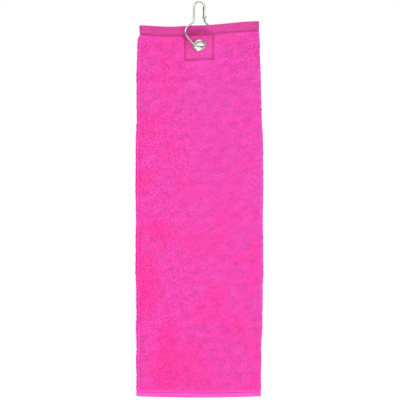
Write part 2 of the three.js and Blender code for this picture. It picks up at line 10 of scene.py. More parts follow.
import bmesh
import bpy
import numpy as np
from bpy.props import FloatProperty, FloatVectorProperty, IntProperty, PointerProperty
from bpy.types import Operator, Panel, PropertyGroup
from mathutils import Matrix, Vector

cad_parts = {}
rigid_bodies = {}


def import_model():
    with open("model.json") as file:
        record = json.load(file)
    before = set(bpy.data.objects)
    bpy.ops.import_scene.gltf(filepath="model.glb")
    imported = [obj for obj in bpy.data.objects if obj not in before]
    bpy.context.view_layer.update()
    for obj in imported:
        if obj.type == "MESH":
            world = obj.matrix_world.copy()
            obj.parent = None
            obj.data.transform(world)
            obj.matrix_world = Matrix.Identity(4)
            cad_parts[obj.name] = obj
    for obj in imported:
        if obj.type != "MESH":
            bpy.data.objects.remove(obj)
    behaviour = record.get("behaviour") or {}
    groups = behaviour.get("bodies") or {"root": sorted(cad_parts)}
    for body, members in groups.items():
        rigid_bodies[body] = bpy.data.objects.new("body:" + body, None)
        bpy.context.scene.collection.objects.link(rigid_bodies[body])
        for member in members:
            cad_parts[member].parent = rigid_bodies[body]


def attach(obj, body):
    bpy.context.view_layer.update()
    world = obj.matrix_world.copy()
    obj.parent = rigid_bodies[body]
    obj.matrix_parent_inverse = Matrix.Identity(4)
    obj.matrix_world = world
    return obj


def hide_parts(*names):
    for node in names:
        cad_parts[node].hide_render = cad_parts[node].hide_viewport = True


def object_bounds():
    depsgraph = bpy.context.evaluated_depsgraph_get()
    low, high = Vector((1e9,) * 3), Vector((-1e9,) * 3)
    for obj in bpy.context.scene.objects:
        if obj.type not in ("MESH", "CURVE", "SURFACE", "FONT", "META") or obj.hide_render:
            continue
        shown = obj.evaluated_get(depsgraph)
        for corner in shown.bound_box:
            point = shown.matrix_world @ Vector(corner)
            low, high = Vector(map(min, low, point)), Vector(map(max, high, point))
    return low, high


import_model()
CAD_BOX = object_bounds()

bl_info = {
    "name": "Golf Towel",
    "version": (1, 0, 0),
    "blender": (4, 5, 0),
    "location": "3D View > Sidebar > Golf Towel",
    "description": "Terry golf towel with woven hems, eyelet and spring-gate hook",
    "category": "Object",
}


# ---- Settings ---------------------------------------------------------------
def size(name, default, description):
    """A length in metres."""
    return FloatProperty(name=name, description=description, default=default, unit="LENGTH", precision=5)


def share(name, default, description):
    """A share of something else."""
    return FloatProperty(name=name, description=description, default=default, subtype="FACTOR")


def slant(name, degrees, description):
    """An angle, given in degrees and held in radians."""
    return FloatProperty(
        name=name, description=description, default=math.radians(degrees), unit="ROTATION"
    )


def colour(name, default, description):
    """A linear colour."""
    return FloatVectorProperty(
        name=name, description=description, default=default, subtype="COLOR", size=3, min=0.0, max=1.0
    )


class TowelSettings(PropertyGroup):
    """Sizes and colours of the cloth"""

    towel_length: size("Length", 0.500, "Top edge to bottom edge")
    folded_width: size("Folded width", 0.172, "Widest, half way down")
    pile: size("Pile thickness", 0.0030, "One layer of terry")
    layer_gap: size("Layer gap", 0.0009, "Between two layers")
    edge_inset: size("Free edge inset", 0.0025, "A free side edge stops short of the fold behind it")
    top_hem: size("Top hem", 0.014, "Height of the woven band at the top")
    bottom_hem: size("Bottom hem", 0.008, "Height of the woven band at the bottom")
    side_hem: size("Side hem", 0.005, "Width of the turned side edges")
    hem_squeeze: share("Hem thickness", 0.62, "Of the hems against the terry")
    top_narrowing: share("Top narrowing", 0.945, "Width at the top against the widest")
    bottom_narrowing: share("Bottom narrowing", 0.965, "Width at the bottom against the widest")
    corner_lift: size("Corner lift", 0.0054, "The folded corner rides up")
    edge_dip: size("Edge dip", 0.0020, "The top edge sags between corner and hook")
    hem_bow: size("Hem bow", 0.0016, "The bottom edge bows down in the middle")
    loop_height: size("Loop height", 0.0011, "How far the pile loops stand out of the cloth")
    loop_seed: IntProperty(name="Loop seed", description="Order of the random loops", default=7)
    pile_colour: colour("Pile", (0.83, 0.050, 0.51), "Terry loops")
    # The ground colour is the terry's own pink, made darker as painted shade of the valleys between the
    # loops.
    shaded_ground_colour: colour("Ground", (0.70, 0.030, 0.37), "Cloth between the loops")
    hem_colour: colour("Hem", (0.48, 0.026, 0.215), "Woven bands and patch")
    thread_colour: colour("Thread", (0.42, 0.008, 0.13), "Sewing thread")


class EyeletSettings(PropertyGroup):
    """Sizes of the eyelet and its patch"""

    bore: size("Bore", 0.0136, "Free diameter of the eyelet")
    wall: size("Wall", 0.00045, "Sheet of the barrel")
    flange: size("Flange", 0.0196, "Outer diameter of the rolled flange")
    dome: size("Dome", 0.0012, "Height of the rolled flange")
    curl_width: size("Curl width", 0.0017, "Barrel end curled over at the back")
    curl_height: size("Curl height", 0.0006, "Depth of that curl")
    washer: size("Washer", 0.0005, "Sheet of the washer")
    clamped: size("Clamped cloth", 0.0028, "All layers pressed together")
    depth: size("Depth", 0.0277, "Centre below the towel's top edge")
    lean: slant("Lean", 34.0, "The face looks up")
    yaw: slant("Yaw", 14.0, "The face looks to the left")
    patch_width: size("Patch width", 0.042, "Sewn patch round the eyelet")
    patch_depth: size("Patch depth", 0.048, "Its lower edge below the top edge")
    patch_cloth: size("Patch cloth", 0.0009, "Thickness of the patch")
    patch_gap: size("Patch gap", 0.0010, "Pile between the patch and the cloth")
    metal_colour: colour("Nickel", (0.40, 0.392, 0.36), "Plated eyelet and wire")


class HookSettings(PropertyGroup):
    """Sizes of the wire and the gate"""

    wire: size("Wire", 0.0024, "Diameter")
    turn: slant("Turn", 24.0, "Between the hook's plane and the towel")
    neck_half: size("Neck", 0.0078, "Half width of the neck, wire centres")
    shoulder_half: size("Shoulder", 0.0082, "Half width at the shoulders")
    shoulder_drop: size("Shoulder drop", 0.0262, "Below the origin")
    shoulder_slope: slant("Shoulder slope", 36.0, "Below level")
    shoulder_radius: size("Shoulder radius", 0.004, "Bend at each shoulder")
    belly_radius: size("Belly radius", 0.0095, "Bend at each side of the belly")
    bottom_radius: size("Bottom radius", 0.020, "Bend that holds the towel")
    bottom_offset: size("Bottom offset", 0.003, "The lowest point lies towards the gate")
    bottom_drop: size("Bottom drop", 0.0594, "Below the origin")
    left_slope: slant("Left slope", 47.0, "Belly line on the left")
    right_slope: slant("Right slope", 62.0, "Belly line on the right")
    nose_drop: size("Nose drop", 0.0076, "The nose inside the gate")
    pivot_drop: size("Pivot drop", 0.0195, "The gate's rivet")
    gate_top: size("Gate top", 0.0050, "Upper end of the gate")
    sheet: size("Gate sheet", 0.0005, "Pressed metal of the gate")
    gate_gap: size("Gate gap", 0.00025, "Between gate and wire")
    ear: size("Ear radius", 0.0024, "Round end of the gate's cheeks")
    tongue: size("Tongue radius", 0.0017, "Flattened end of the wire")
    tongue_sheet: size("Tongue thickness", 0.0020, "Flattened end of the wire")
    rivet: size("Rivet radius", 0.0006, "Shank")
    rivet_head: size("Rivet head", 0.0014, "Radius")
    rivet_dome: size("Rivet dome", 0.0005, "Height of each head")
    leaf: size("Spring leaf", 0.00025, "Thickness")
    gate_colour: colour("Gate", (0.36, 0.355, 0.32), "Pressed steel gate")


class StageSettings(PropertyGroup):
    """Camera and floor"""

    field: size("Field", 0.539, "Width that the camera sees at the towel")
    distance: size("Camera distance", 3.0, "From the towel")
    centre_x: size("Centre X", 0.0009, "What the camera looks at")
    centre_z: size("Centre Z", -0.266, "What the camera looks at")
    floor_colour: colour("Floor", (0.90, 0.90, 0.90), "Pale floor")
    floor_gap: size("Floor gap", 0.03, "Floor below the towel")


SETTINGS = {
    "golf_towel": TowelSettings,
    "golf_eyelet": EyeletSettings,
    "golf_hook": HookSettings,
    "golf_stage": StageSettings,
}

# Shares and reaches of the cloth's shape, in metres where they are lengths
CLEARANCE = 0.0003
CLAMP_MARGIN = 0.0033
LEAN_DOWN = 0.034
LEAN_UP = 0.014
SQUEEZE_REACH = 0.026
EDGE_REACH = 0.120
BOW_REACH = 0.060
HEM_BLEND = 0.012
TOP_TAPER = 0.42
BOTTOM_TAPER = 0.38
SEAM_INSET = 0.0018
SQUARE_HALF = 0.006
BENT_HALF = 0.015
LOOP_PITCH = 0.00150
TUCK = 0.0008
WIRE_BELOW_CENTRE = 0.0012


# ---- Small numpy helpers ------------------------------------------------------
def smooth(t):
    """0 below 0, 1 above 1, and 3t^2 - 2t^3 between."""
    t = np.clip(t, 0.0, 1.0)
    return t * t * (3.0 - 2.0 * t)


def lumps(u, v, wavelength, seed, waves=9):
    """Gentle random hills of about unit height: a sum of sines of (u, v) in seeded directions."""
    rng = np.random.default_rng(seed)
    total = 0.0
    for _ in range(waves):
        angle, phase, stretch = rng.uniform(0, 2 * np.pi, 3)
        turns = (u * np.cos(angle) + v * np.sin(angle)) / (wavelength * (0.75 + 0.08 * stretch))
        total = total + np.sin(2 * np.pi * turns + phase)
    return total / math.sqrt(waves)


def steps(low, high, step):
    """Evenly spaced values from low to high, about a step apart."""
    return np.linspace(low, high, max(2, int(round((high - low) / step)) + 1))


def lines(*runs):
    """The sorted union of several runs of values, with near doubles left out."""
    values = np.unique(np.round(np.concatenate(runs), 6))
    return values[np.insert(np.diff(values) > 1e-5, 0, True)]


def fitted(flat):
    """Map coordinates moved and scaled to fill the unit square, less a small margin."""
    low, high = flat.min(0), flat.max(0)
    return 0.01 + 0.98 * (flat - low) / (high - low)


def make_object(name, points, faces, cloth=None, chart=None, crease_shade=None):
    """A mesh object from points (n, 3) and a list of (m, k) face arrays, unused points left out.
    cloth is each point's place on the flat cloth, chart its place on the colour map, and the
    shade attribute how dark its painted shade is, in seams, at edges and at loop roots."""
    used, packed = np.unique(np.concatenate([f.ravel() for f in faces]), return_inverse=True)
    packed = packed.ravel()
    counts = np.concatenate([np.full(len(f), f.shape[1]) for f in faces])
    mesh = bpy.data.meshes.new(name)
    mesh.vertices.add(len(used))
    mesh.vertices.foreach_set("co", points[used].astype(np.float32).ravel())
    mesh.loops.add(len(packed))
    mesh.loops.foreach_set("vertex_index", packed.astype(np.int32))
    mesh.polygons.add(len(counts))
    starts = np.concatenate([[0], np.cumsum(counts)[:-1]])
    mesh.polygons.foreach_set("loop_start", starts.astype(np.int32))
    mesh.update(calc_edges=True)
    mesh.polygons.foreach_set("use_smooth", np.ones(len(counts), bool))
    for label, values in (("Cloth", cloth), ("OFBake", None if chart is None else fitted(chart))):
        if values is not None:
            layer = mesh.uv_layers.new(name=label)
            layer.uv.foreach_set("vector", values[used][packed].astype(np.float32).ravel())
    if crease_shade is not None:
        shade = mesh.attributes.new("crease_shade", "FLOAT", "POINT")
        shade.data.foreach_set("value", crease_shade[used].astype(np.float32))
    mesh.validate()
    piece = bpy.data.objects.new(name, mesh)
    bpy.context.scene.collection.objects.link(piece)
    return piece


def both_faces(first, second, gap):
    """Charts of a thin body's two faces, side by side."""
    chart = np.stack([first, second], -1).reshape(-1, 2)
    return np.concatenate([chart, chart + [np.ptp(first) + gap, 0.0]])


def volume(points, faces):
    """Signed volume inside a closed mesh: a sixth of the triple products of its triangles."""
    total = 0.0
    for f in faces:
        for k in range(1, f.shape[1] - 1):
            a, b, c = points[f[:, 0]], points[f[:, k]], points[f[:, k + 1]]
            total += np.einsum("ij,ij->i", a, np.cross(b, c)).sum() / 6.0
    return total


def outward(points, faces):
    """The same faces, turned over if they enclose a negative volume."""
    return faces if volume(points, faces) > 0 else [f[:, ::-1] for f in faces]


def two_sided(outer, inner, kept=None):
    """Points and faces of a thin closed body between two grids (n, m, 3). Where the mask of cells
    is false there is a hole, and its rim is closed as the outer rim is."""
    n, m = outer.shape[:2]
    at = np.arange(n * m).reshape(n, m)
    under = at + n * m
    kept = np.ones((n - 1, m - 1), bool) if kept is None else kept
    cells = np.stack([at[:-1, :-1], at[1:, :-1], at[1:, 1:], at[:-1, 1:]], -1)[kept]
    faces = [cells, cells[:, ::-1] + n * m]
    padded = np.pad(kept, 1).astype(int)
    along = padded[1:, 1:-1] - padded[:-1, 1:-1]
    across = padded[1:-1, 1:] - padded[1:-1, :-1]
    for sign in (1, -1):
        i, j = np.nonzero(along == sign)
        rim = np.stack([at[i, j], at[i, j + 1], under[i, j + 1], under[i, j]], -1)
        faces.append(rim[:, ::sign])
        i, j = np.nonzero(across == sign)
        rim = np.stack([at[i + 1, j], at[i, j], under[i, j], under[i + 1, j]], -1)
        faces.append(rim[:, ::sign])
    points = np.concatenate([outer.reshape(-1, 3), inner.reshape(-1, 3)])
    return points, outward(points, [f for f in faces if len(f)])


def open_cells(n, m):
    """The four-sided cells of an open grid of n by m points, (n - 1, m - 1, 4)."""
    at = np.arange(n * m).reshape(n, m)
    return np.stack([at[:-1, :-1], at[:-1, 1:], at[1:, 1:], at[1:, :-1]], -1)


def ringed(rings, closed=False):
    """Points and faces of rings (n, k, 3) of points, each closed round. The first and last ring are
    joined when closed is true, and else each end is closed with a point at its middle."""
    n, k = rings.shape[:2]
    at = np.arange(n * k).reshape(n, k)
    after = np.roll(at, -1, 1)
    top, low = (at, after) if closed else (at[:-1], after[:-1])
    next_top = np.roll(at, -1, 0) if closed else at[1:]
    next_low = np.roll(after, -1, 0) if closed else after[1:]
    faces = [np.stack([top, low, next_low, next_top], -1).reshape(-1, 4)]
    points = rings.reshape(-1, 3)
    if not closed:
        points = np.concatenate([points, rings[[0, -1]].mean(1)])
        first, last = np.full(k, n * k), np.full(k, n * k + 1)
        faces += [np.stack([after[0], at[0], first], -1), np.stack([at[-1], after[-1], last], -1)]
    return points, outward(points, faces)


# ---- How the cloth lies ---------------------------------------------------------
class Drape:
    """The folded towel. A point of the cloth is (s, depth, w): s along the folded sheet from the
    front panel's free edge, depth below the top edge, w off the sheet's middle. place() takes it
    to where it hangs."""

    def __init__(self, scene):
        towel, eyelet, hook = scene.golf_towel, scene.golf_eyelet, scene.golf_hook
        self.towel, self.eyelet = towel, eyelet
        self.length = towel.towel_length
        self.half_pile = towel.pile / 2
        self.pitch = towel.pile + towel.layer_gap
        self.half_width = towel.folded_width / 2
        self.front_edge = self.half_width - towel.edge_inset
        self.bend = self.half_width - self.pitch / 2 - self.half_pile
        self.panel = self.front_edge + self.bend
        self.arc = math.pi * self.pitch / 2
        self.right_fold = self.panel
        self.middle_start = self.panel + self.arc
        self.left_fold = self.middle_start + 2 * self.bend
        self.back_start = self.left_fold + self.arc
        self.route_end = self.back_start + self.panel
        self.terry_top = towel.top_hem + CLEARANCE
        self.terry_foot = self.length - towel.bottom_hem - CLEARANCE
        self.tan_lean, self.tan_yaw = math.tan(eyelet.lean), math.tan(eyelet.yaw)
        self.facing = 1 / math.sqrt(1 + self.tan_lean**2 + self.tan_yaw**2)
        stack_back = self.pitch + self.half_pile
        stack_front = stack_back + eyelet.patch_gap + eyelet.patch_cloth
        self.pressed = eyelet.clamped / ((stack_front + stack_back) * self.facing)
        self.middle = (stack_back - stack_front) / 2 * self.pressed
        self.clamp = eyelet.flange / 2 + CLAMP_MARGIN
        self.top_z = eyelet.depth - hook.bottom_drop + WIRE_BELOW_CENTRE
        self.centre_z = float(self.height(np.zeros(1), np.full(1, eyelet.depth))[0])

    def route(self, s):
        """(x, y, normal x, normal y) along the folded sheet: straight panels at y = -pitch, 0 and
        +pitch, joined by half circles of radius pitch/2."""
        r = self.pitch / 2
        right = (s - self.right_fold) / r - np.pi / 2
        left = (s - self.left_fold) / r - np.pi / 2
        where = [s < self.right_fold, s < self.middle_start, s < self.left_fold, s < self.back_start]
        x = np.select(
            where,
            [
                s - self.front_edge,
                self.bend + r * np.cos(right),
                self.bend - (s - self.middle_start),
                -self.bend - r * np.cos(left),
            ],
            s - self.back_start - self.bend,
        )
        y = np.select(
            where, [-self.pitch, -r + r * np.sin(right), 0.0, r + r * np.sin(left)], self.pitch
        )
        nx = np.select(where, [0.0, np.cos(right), 0.0, np.cos(left)], 0.0)
        ny = np.select(where, [-1.0, np.sin(right), 1.0, -np.sin(left)], -1.0)
        return x, y, nx, ny

    def width_factor(self, depth):
        """1 half way down, falling smoothly to the narrowings at the top and bottom."""
        top = 1 - smooth(depth / (TOP_TAPER * self.length))
        low = smooth(1 - (self.length - depth) / (BOTTOM_TAPER * self.length))
        towel = self.towel
        return 1 - (1 - towel.top_narrowing) * top - (1 - towel.bottom_narrowing) * low

    def height(self, x, depth):
        """Level of a point: its depth below the top edge, which rises to the folded corner, dips
        left of the hook and is straight again lower down, less the bottom edge's bow."""
        towel = self.towel
        across = x / self.half_width
        rise = towel.corner_lift * smooth(across) - towel.edge_dip * np.exp(-((3 * across + 1.5) ** 2))
        near_top = 1 - smooth(depth / EDGE_REACH)
        near_foot = smooth((depth - self.length + BOW_REACH) / BOW_REACH)
        return self.top_z - depth + rise * near_top - towel.hem_bow * (1 - across**2) * near_foot

    def squeeze(self, x, depth):
        """Share of the full thickness: small in the eyelet's clamp and in the hems."""
        towel = self.towel
        top = 1 - smooth((depth - towel.top_hem) / HEM_BLEND)
        low = smooth((depth - (self.length - towel.bottom_hem - HEM_BLEND)) / HEM_BLEND)
        hems = 1 - (1 - towel.hem_squeeze) * np.maximum(top, low)
        away = smooth((np.hypot(x, depth - self.eyelet.depth) - self.clamp) / SQUEEZE_REACH)
        return (self.pressed + (1 - self.pressed) * away) * (1 - (1 - hems) * away)

    def lean(self, x, z):
        """(how far the eyelet pulls the cloth along y, share of its tilt that is left): the
        eyelet's own plane inside the clamp, fading out round it."""
        up = z - self.centre_z
        distance = np.hypot(x, up)
        reach = np.where(up > 0, LEAN_UP, LEAN_DOWN)
        part = np.minimum(1.0, np.abs(up) / self.clamp)
        reach = LEAN_DOWN + (reach - LEAN_DOWN) * part
        hold = self.clamp / np.maximum(distance, self.clamp)
        left = hold * (1 - smooth((distance - self.clamp) / reach))
        return (self.tan_lean * up - self.tan_yaw * x) * left, left

    def sway(self, x, depth):
        """Soft waves of the whole stack, none near the eyelet."""
        waves = lumps(x, depth, 0.14, 3) * 0.0006 + lumps(x, depth, 0.05, 4) * 0.00022
        across = smooth((x + 0.035) / 0.03) * (1 - smooth((x - 0.06) / 0.03))
        waves = waves - 0.0008 * across * np.exp(-(((depth - 0.272 - 0.02 * x) / 0.003) ** 2))
        return waves * smooth((np.hypot(x, depth - self.eyelet.depth) - 0.022) / 0.05)

    def spread(self, x, depth):
        """The left side stands out a little below the top band and again at the bottom."""
        top = smooth((depth - 0.012) / 0.006) * (1 - smooth((depth - 0.05) / 0.10))
        low = smooth((depth - 0.38) / 0.08)
        return (0.0024 * top + 0.0020 * low) * np.clip(-x / self.half_width, 0, 1) ** 3

    def place(self, s, depth, w):
        """The point in the frame: the route and its normal give x and y, the squeeze thins y, and
        the eyelet's lean tilts and moves what lies near it."""
        x, y, nx, ny = self.route(s)
        x, y = x + w * nx, y + w * ny
        z = self.height(x, depth)
        wobble = lumps(depth, 0 * depth, 0.045, 5) * 0.0004 * np.abs(x) / self.half_width
        wide = x * self.width_factor(depth) + np.sign(x) * wobble - self.spread(x, depth)
        pull, left = self.lean(x * self.width_factor(depth), z)
        off = y * self.squeeze(x, depth)
        tilt = (off - self.middle) * self.facing**2 * left
        flat = off * (1 - left) + (self.middle + (off - self.middle) * self.facing**2) * left
        return np.stack(
            [
                wide + tilt * self.tan_yaw,
                flat + pull + self.sway(x, depth),
                z - tilt * self.tan_lean,
            ],
            -1,
        )

    def around_eyelet(self, s, depth, hole, inner=SQUARE_HALF, outer=BENT_HALF):
        """Moves grid points so that the square of half width inner round the eyelet becomes its
        round hole, in every panel. Returns s, depth and where the cells lie inside the square."""
        x = self.route(s)[0]
        forward = np.where((s > self.middle_start) & (s < self.left_fold), -1.0, 1.0)
        down = depth - self.eyelet.depth
        reach = np.maximum(np.abs(x), np.abs(down))
        true = np.sqrt(x**2 + down**2 + (self.tan_lean * down + self.tan_yaw * x) ** 2)
        pull = 1 - smooth((reach - inner) / (outer - inner))
        grow = 1 + pull * (hole / np.maximum(true, 1e-6) - 1)
        grow = np.where(reach < inner - 1e-6, 1.0, grow)
        return s + forward * x * (grow - 1), self.eyelet.depth + down * grow


def hole_lines(inner=SQUARE_HALF, outer=BENT_HALF, step=0.0012):
    """Offsets from the eyelet's centre, dense where the hole's grid is bent."""
    beyond = steps(inner, outer, step)
    return np.concatenate([steps(-inner, inner, step), beyond, -beyond])


def eyelet_cells(drape, s, depth, inner=SQUARE_HALF):
    """True for the grid cells that lie outside the eyelet's square."""
    x = drape.route(s)[0]
    mid_x = (x[1:, 0] + x[:-1, 0]) / 2
    mid_d = (depth[0, 1:] + depth[0, :-1]) / 2 - drape.eyelet.depth
    return ~((np.abs(mid_x)[:, None] < inner) & (np.abs(mid_d)[None, :] < inner))


def rounding(away, radius, least=0.12):
    """Share of the thickness at a distance from a rounded edge: a quarter circle."""
    t = np.clip(away / radius, 0.0, 1.0)
    return np.maximum(np.sqrt(1 - (1 - t) ** 2), least)


def groove(away, width, depth):
    """A soft valley across a seam."""
    return depth * np.exp(-((away / width) ** 2))


# ---- Shader maths ---------------------------------------------------------------
class Wire:
    """A shader socket with Python's arithmetic. Each operator adds one Math node."""

    def __init__(self, graph, socket):
        self.graph, self.socket = graph, socket

    def maths(self, operation, *values):
        """One Math node on these values."""
        return self.graph.node("Math", {"operation": operation}, dict(enumerate(values)))

    def __add__(self, other):
        return self.maths("ADD", self, other)

    def __sub__(self, other):
        return self.maths("SUBTRACT", self, other)

    def __rsub__(self, other):
        return self.maths("SUBTRACT", other, self)

    def __mul__(self, other):
        return self.maths("MULTIPLY", self, other)

    def sine(self):
        return self.maths("SINE", self)

    def clamped(self):
        return self.graph.node("Clamp", {}, {"Value": self})

    def rise(self, low, high):
        """0 below low, 1 above high, smooth between."""
        sockets = {"Value": self, "From Min": low, "From Max": high}
        return self.graph.node("MapRange", {"interpolation_type": "SMOOTHSTEP"}, sockets)

    __radd__ = __add__
    __rmul__ = __mul__

    def output(self, name):
        """Another output of the same node, by name or number."""
        return Wire(self.graph, self.socket.node.outputs[name])


class Graph:
    """The node tree of one material or world."""

    def __init__(self, owner):
        owner.use_nodes = True
        self.tree = owner.node_tree
        self.tree.nodes.clear()

    def node(self, kind, settings, sockets):
        """A node of this kind: its settings first, then a value or link for each socket."""
        node = self.tree.nodes.new("ShaderNode" + kind)
        for name, value in settings.items():
            setattr(node, name, value)
        for name, value in sockets.items():
            if isinstance(value, Wire):
                self.tree.links.new(value.socket, node.inputs[name])
            else:
                node.inputs[name].default_value = value
        return Wire(self, node.outputs[0]) if len(node.outputs) else node

    def place(self):
        """The point on the piece, in metres."""
        return self.node("TexCoord", {}, {}).output("Object")

    def cloth_map(self):
        """The point's place on the flat cloth, in metres."""
        return self.node("UVMap", {"uv_map": "Cloth"}, {})

    def crease_shade(self):
        """Painted shade at the point, from its shade attribute: seams, edges and loop roots."""
        return self.node("Attribute", {"attribute_name": "crease_shade"}, {}).output("Fac")

    def stretched(self, where, scale):
        """A place scaled along each axis."""
        return self.node("Mapping", {}, {"Vector": where, "Scale": scale})

    def parts(self, vector):
        """The three parts of a vector."""
        split = self.node("SeparateXYZ", {}, {"Vector": vector})
        return split, split.output("Y"), split.output("Z")

    def noise(self, where, scale, detail=2.0, roughness=0.5):
        """Soft random values round a half."""
        sockets = {"Vector": where, "Scale": scale, "Detail": detail, "Roughness": roughness}
        return self.node("TexNoise", {}, sockets)

    def mix(self, factor, first, second):
        """A colour between two. A Mix node's colour sockets are 6 and 7, and its colour output is 2."""
        sockets = {0: factor, 6: first, 7: second}
        return self.node("Mix", {"data_type": "RGBA"}, sockets).output(2)

    def bump(self, height, distance):
        """A normal from a height in units of the distance."""
        sockets = {"Height": height, "Distance": distance, "Strength": 1.0}
        return self.node("Bump", {}, sockets)

    def finish(self, sockets):
        """The shader and the material's output."""
        shader = self.node("BsdfPrincipled", {}, sockets)
        self.node("OutputMaterial", {}, {"Surface": shader})


def rgba(value, gain=1.0):
    """A colour brightened by a gain, with its alpha."""
    return tuple(min(1.0, c * gain) for c in value) + (1.0,)


def tinted(value, red, green, blue):
    """A colour with a gain for each channel, with its alpha."""
    return (min(1.0, value[0] * red), min(1.0, value[1] * green), min(1.0, value[2] * blue), 1.0)


def new_material(name):
    """A material and its empty graph."""
    material = bpy.data.materials.new(name)
    return material, Graph(material)


def terry_finish(name, base, tufts):
    """Looped cotton: soft blotches where the pile lies another way, a redder lower left, a painted
    sheen highlight in pale violet along the right fold, painted shade at the loops' roots, between the
    tufts and in the seams, and tufts and fibres in the bump."""
    material, g = new_material(name)
    where = g.place()
    x, _, z = g.parts(where)
    blotch = g.noise(where, 75.0, 4.0, 0.62)
    speckle = g.noise(where, 420.0, 2.0, 0.6)
    streak = g.noise(g.stretched(where, (34.0, 34.0, 150.0)), 1.0, 3.0, 0.6)
    tone = (blotch * 0.22 + speckle * 0.30 + streak * 0.48).rise(0.34, 0.66)
    plain = g.mix(tone, tinted(base, 0.96, 0.74, 0.87), tinted(base, 0.98, 1.50, 1.06))
    left = (x * -1.0).rise(-0.01, 0.085) * 0.6 + (z * -1.0).rise(0.10, 0.45) * 0.45
    spots = g.noise(where, 17.0, 3.0, 0.60).rise(0.42, 0.60)
    matted = (left * (0.30 + spots * 0.90) + (1.0 - left) * spots * 0.10).clamped()
    # Darker and less blue towards the top, below the band.
    crown = z.rise(-0.090, -0.045) * 0.6
    brushed = g.mix(crown, plain, tinted(base, 0.92, 0.90, 0.82))
    warm = g.mix(matted, brushed, tinted(base, 1.10, 0.42, 0.72))
    # Painted highlight: a pale violet sheen painted along the right fold.
    fold_sheen_highlight = x.rise(0.0795, 0.0850) * 0.5
    lit = g.mix(fold_sheen_highlight, warm, tinted(base, 0.88, 2.2, 1.3))
    # Painted shade between the tufts, darker at the cell edges, and in seams, at edges and at loop roots
    # from the shade attribute.
    cells = g.node("TexVoronoi", {"feature": "SMOOTH_F1"}, {"Vector": where, "Scale": 620.0})
    between = cells.rise(0.25, 0.75) * tufts
    shade = (g.crease_shade() * 0.55 + between * 0.6).clamped()
    finished = g.mix(shade, lit, tinted(base, 0.90, 0.52, 0.70))
    fibres = g.noise(where, 2600.0, 3.0, 0.7)
    g.finish(
        {
            "Base Color": finished,
            "Roughness": 0.92,
            "Sheen Weight": 0.35,
            "Sheen Roughness": 0.45,
            "Sheen Tint": (1.0, 0.72, 0.88, 1.0),
            "Specular IOR Level": 0.25,
            "Normal": g.bump(fibres * 0.25 - cells * tufts, 0.0010),
        }
    )
    return material


def woven_finish(name, base, yarn):
    """Flat cotton: crossing yarns a fraction of a millimetre apart on the cloth's own map, uneven
    weft bars, a little lint, and painted shade in the seams and at tucked edges."""
    material, g = new_material(name)
    across, along, _ = g.parts(g.cloth_map())
    turns = 2 * math.pi / yarn
    warp = (across * turns).sine() * (along * (turns / 2)).sine()
    weft = (along * turns).sine()
    weave = weft * 0.35 + warp * 0.4
    where = g.place()
    bars = g.noise(g.stretched(where, (14.0, 14.0, 420.0)), 1.0, 3.0, 0.6)
    lint = g.noise(where, 380.0, 3.0, 0.6)
    tone = (bars * 0.5 + lint * 0.5 + weave * 0.06).rise(0.36, 0.66)
    cloth = g.mix(tone, rgba(base, 0.84), tinted(base, 1.08, 1.5, 1.12))
    # Painted shade: darker in the seams and at tucked edges, from the shade attribute.
    sewn = g.mix((g.crease_shade() * 0.6).clamped(), cloth, tinted(base, 0.62, 0.30, 0.48))
    g.finish(
        {
            "Base Color": sewn,
            "Roughness": 0.78,
            "Sheen Weight": 0.25,
            "Sheen Roughness": 0.4,
            "Sheen Tint": (1.0, 0.75, 0.9, 1.0),
            "Specular IOR Level": 0.3,
            "Normal": g.bump(weave + lint * 0.5, 0.00012),
        }
    )
    return material


def thread_finish(name, base):
    """Spun sewing thread: slight sheen and plies that show as fine diagonal lines."""
    material, g = new_material(name)
    where = g.place()
    x, y, z = g.parts(where)
    plies = ((x + y + z) * 9000.0).sine()
    worn = g.noise(where, 300.0, 2.0, 0.5)
    yarn = g.mix(worn, rgba(base, 0.8), tinted(base, 1.15, 2.2, 1.3))
    g.finish(
        {
            "Base Color": yarn,
            "Roughness": 0.5,
            "Sheen Weight": 0.2,
            "Normal": g.bump(plies, 0.00006),
        }
    )
    return material


def plated_finish(name, base, grain, gloss):
    """Bright nickel: clouded plating, fine drawing lines and a slight waviness."""
    material, g = new_material(name)
    where = g.place()
    cloud = g.noise(where, 160.0, 3.0, 0.6)
    lines_along = g.noise(g.stretched(where, (2400.0, 2400.0, 240.0)), 1.0, 2.0, 0.6)
    metal = g.mix(cloud.rise(0.35, 0.7), tinted(base, 0.86, 0.9, 0.86), rgba(base, 1.08))
    g.finish(
        {
            "Base Color": metal,
            "Metallic": 1.0,
            "Roughness": cloud * 0.1 + lines_along * grain + gloss,
            "Normal": g.bump(lines_along * 0.3 + cloud, 0.00004),
        }
    )
    return material


def dressed(piece, material, slot, body, *nodes):
    """Gives a piece its material, its body and the nodes that it stands for. The slot is not used."""
    piece.data.materials.append(material)
    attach(piece, body)
    if nodes:
        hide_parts(*nodes)
    return piece


# ---- Towel sheet ----------------------------------------------------------------
def sheet_lines(drape, start, end, step, coarse):
    """Places along the folded sheet: a step apart on the outer panels, coarse on the hidden middle
    one, dense round the folds and at each crossing of the eyelet."""
    d = drape
    near = hole_lines()
    centres = [d.front_edge, d.middle_start + d.bend, d.back_start + d.bend]
    runs = [
        steps(start, d.right_fold, step),
        steps(d.right_fold, d.middle_start, d.arc / 10),
        steps(d.middle_start, d.left_fold, coarse),
        steps(d.left_fold, d.back_start, d.arc / 10),
        steps(d.back_start, end, step),
    ]
    clear = [run[np.all([np.abs(run - c) > near.max() + step / 2 for c in centres], axis=0)] for run in runs]
    return lines(*clear, *[c + near for c in centres])


def depth_lines(drape, start, end, step):
    """Depths a step apart, dense where the eyelet crosses."""
    near = hole_lines() + drape.eyelet.depth
    run = steps(start, end, step)
    run = run[(run < near.min() - step / 2) | (run > near.max() + step / 2)]
    near = near[near > start - 1e-6]
    return lines(run, near, [start, end])


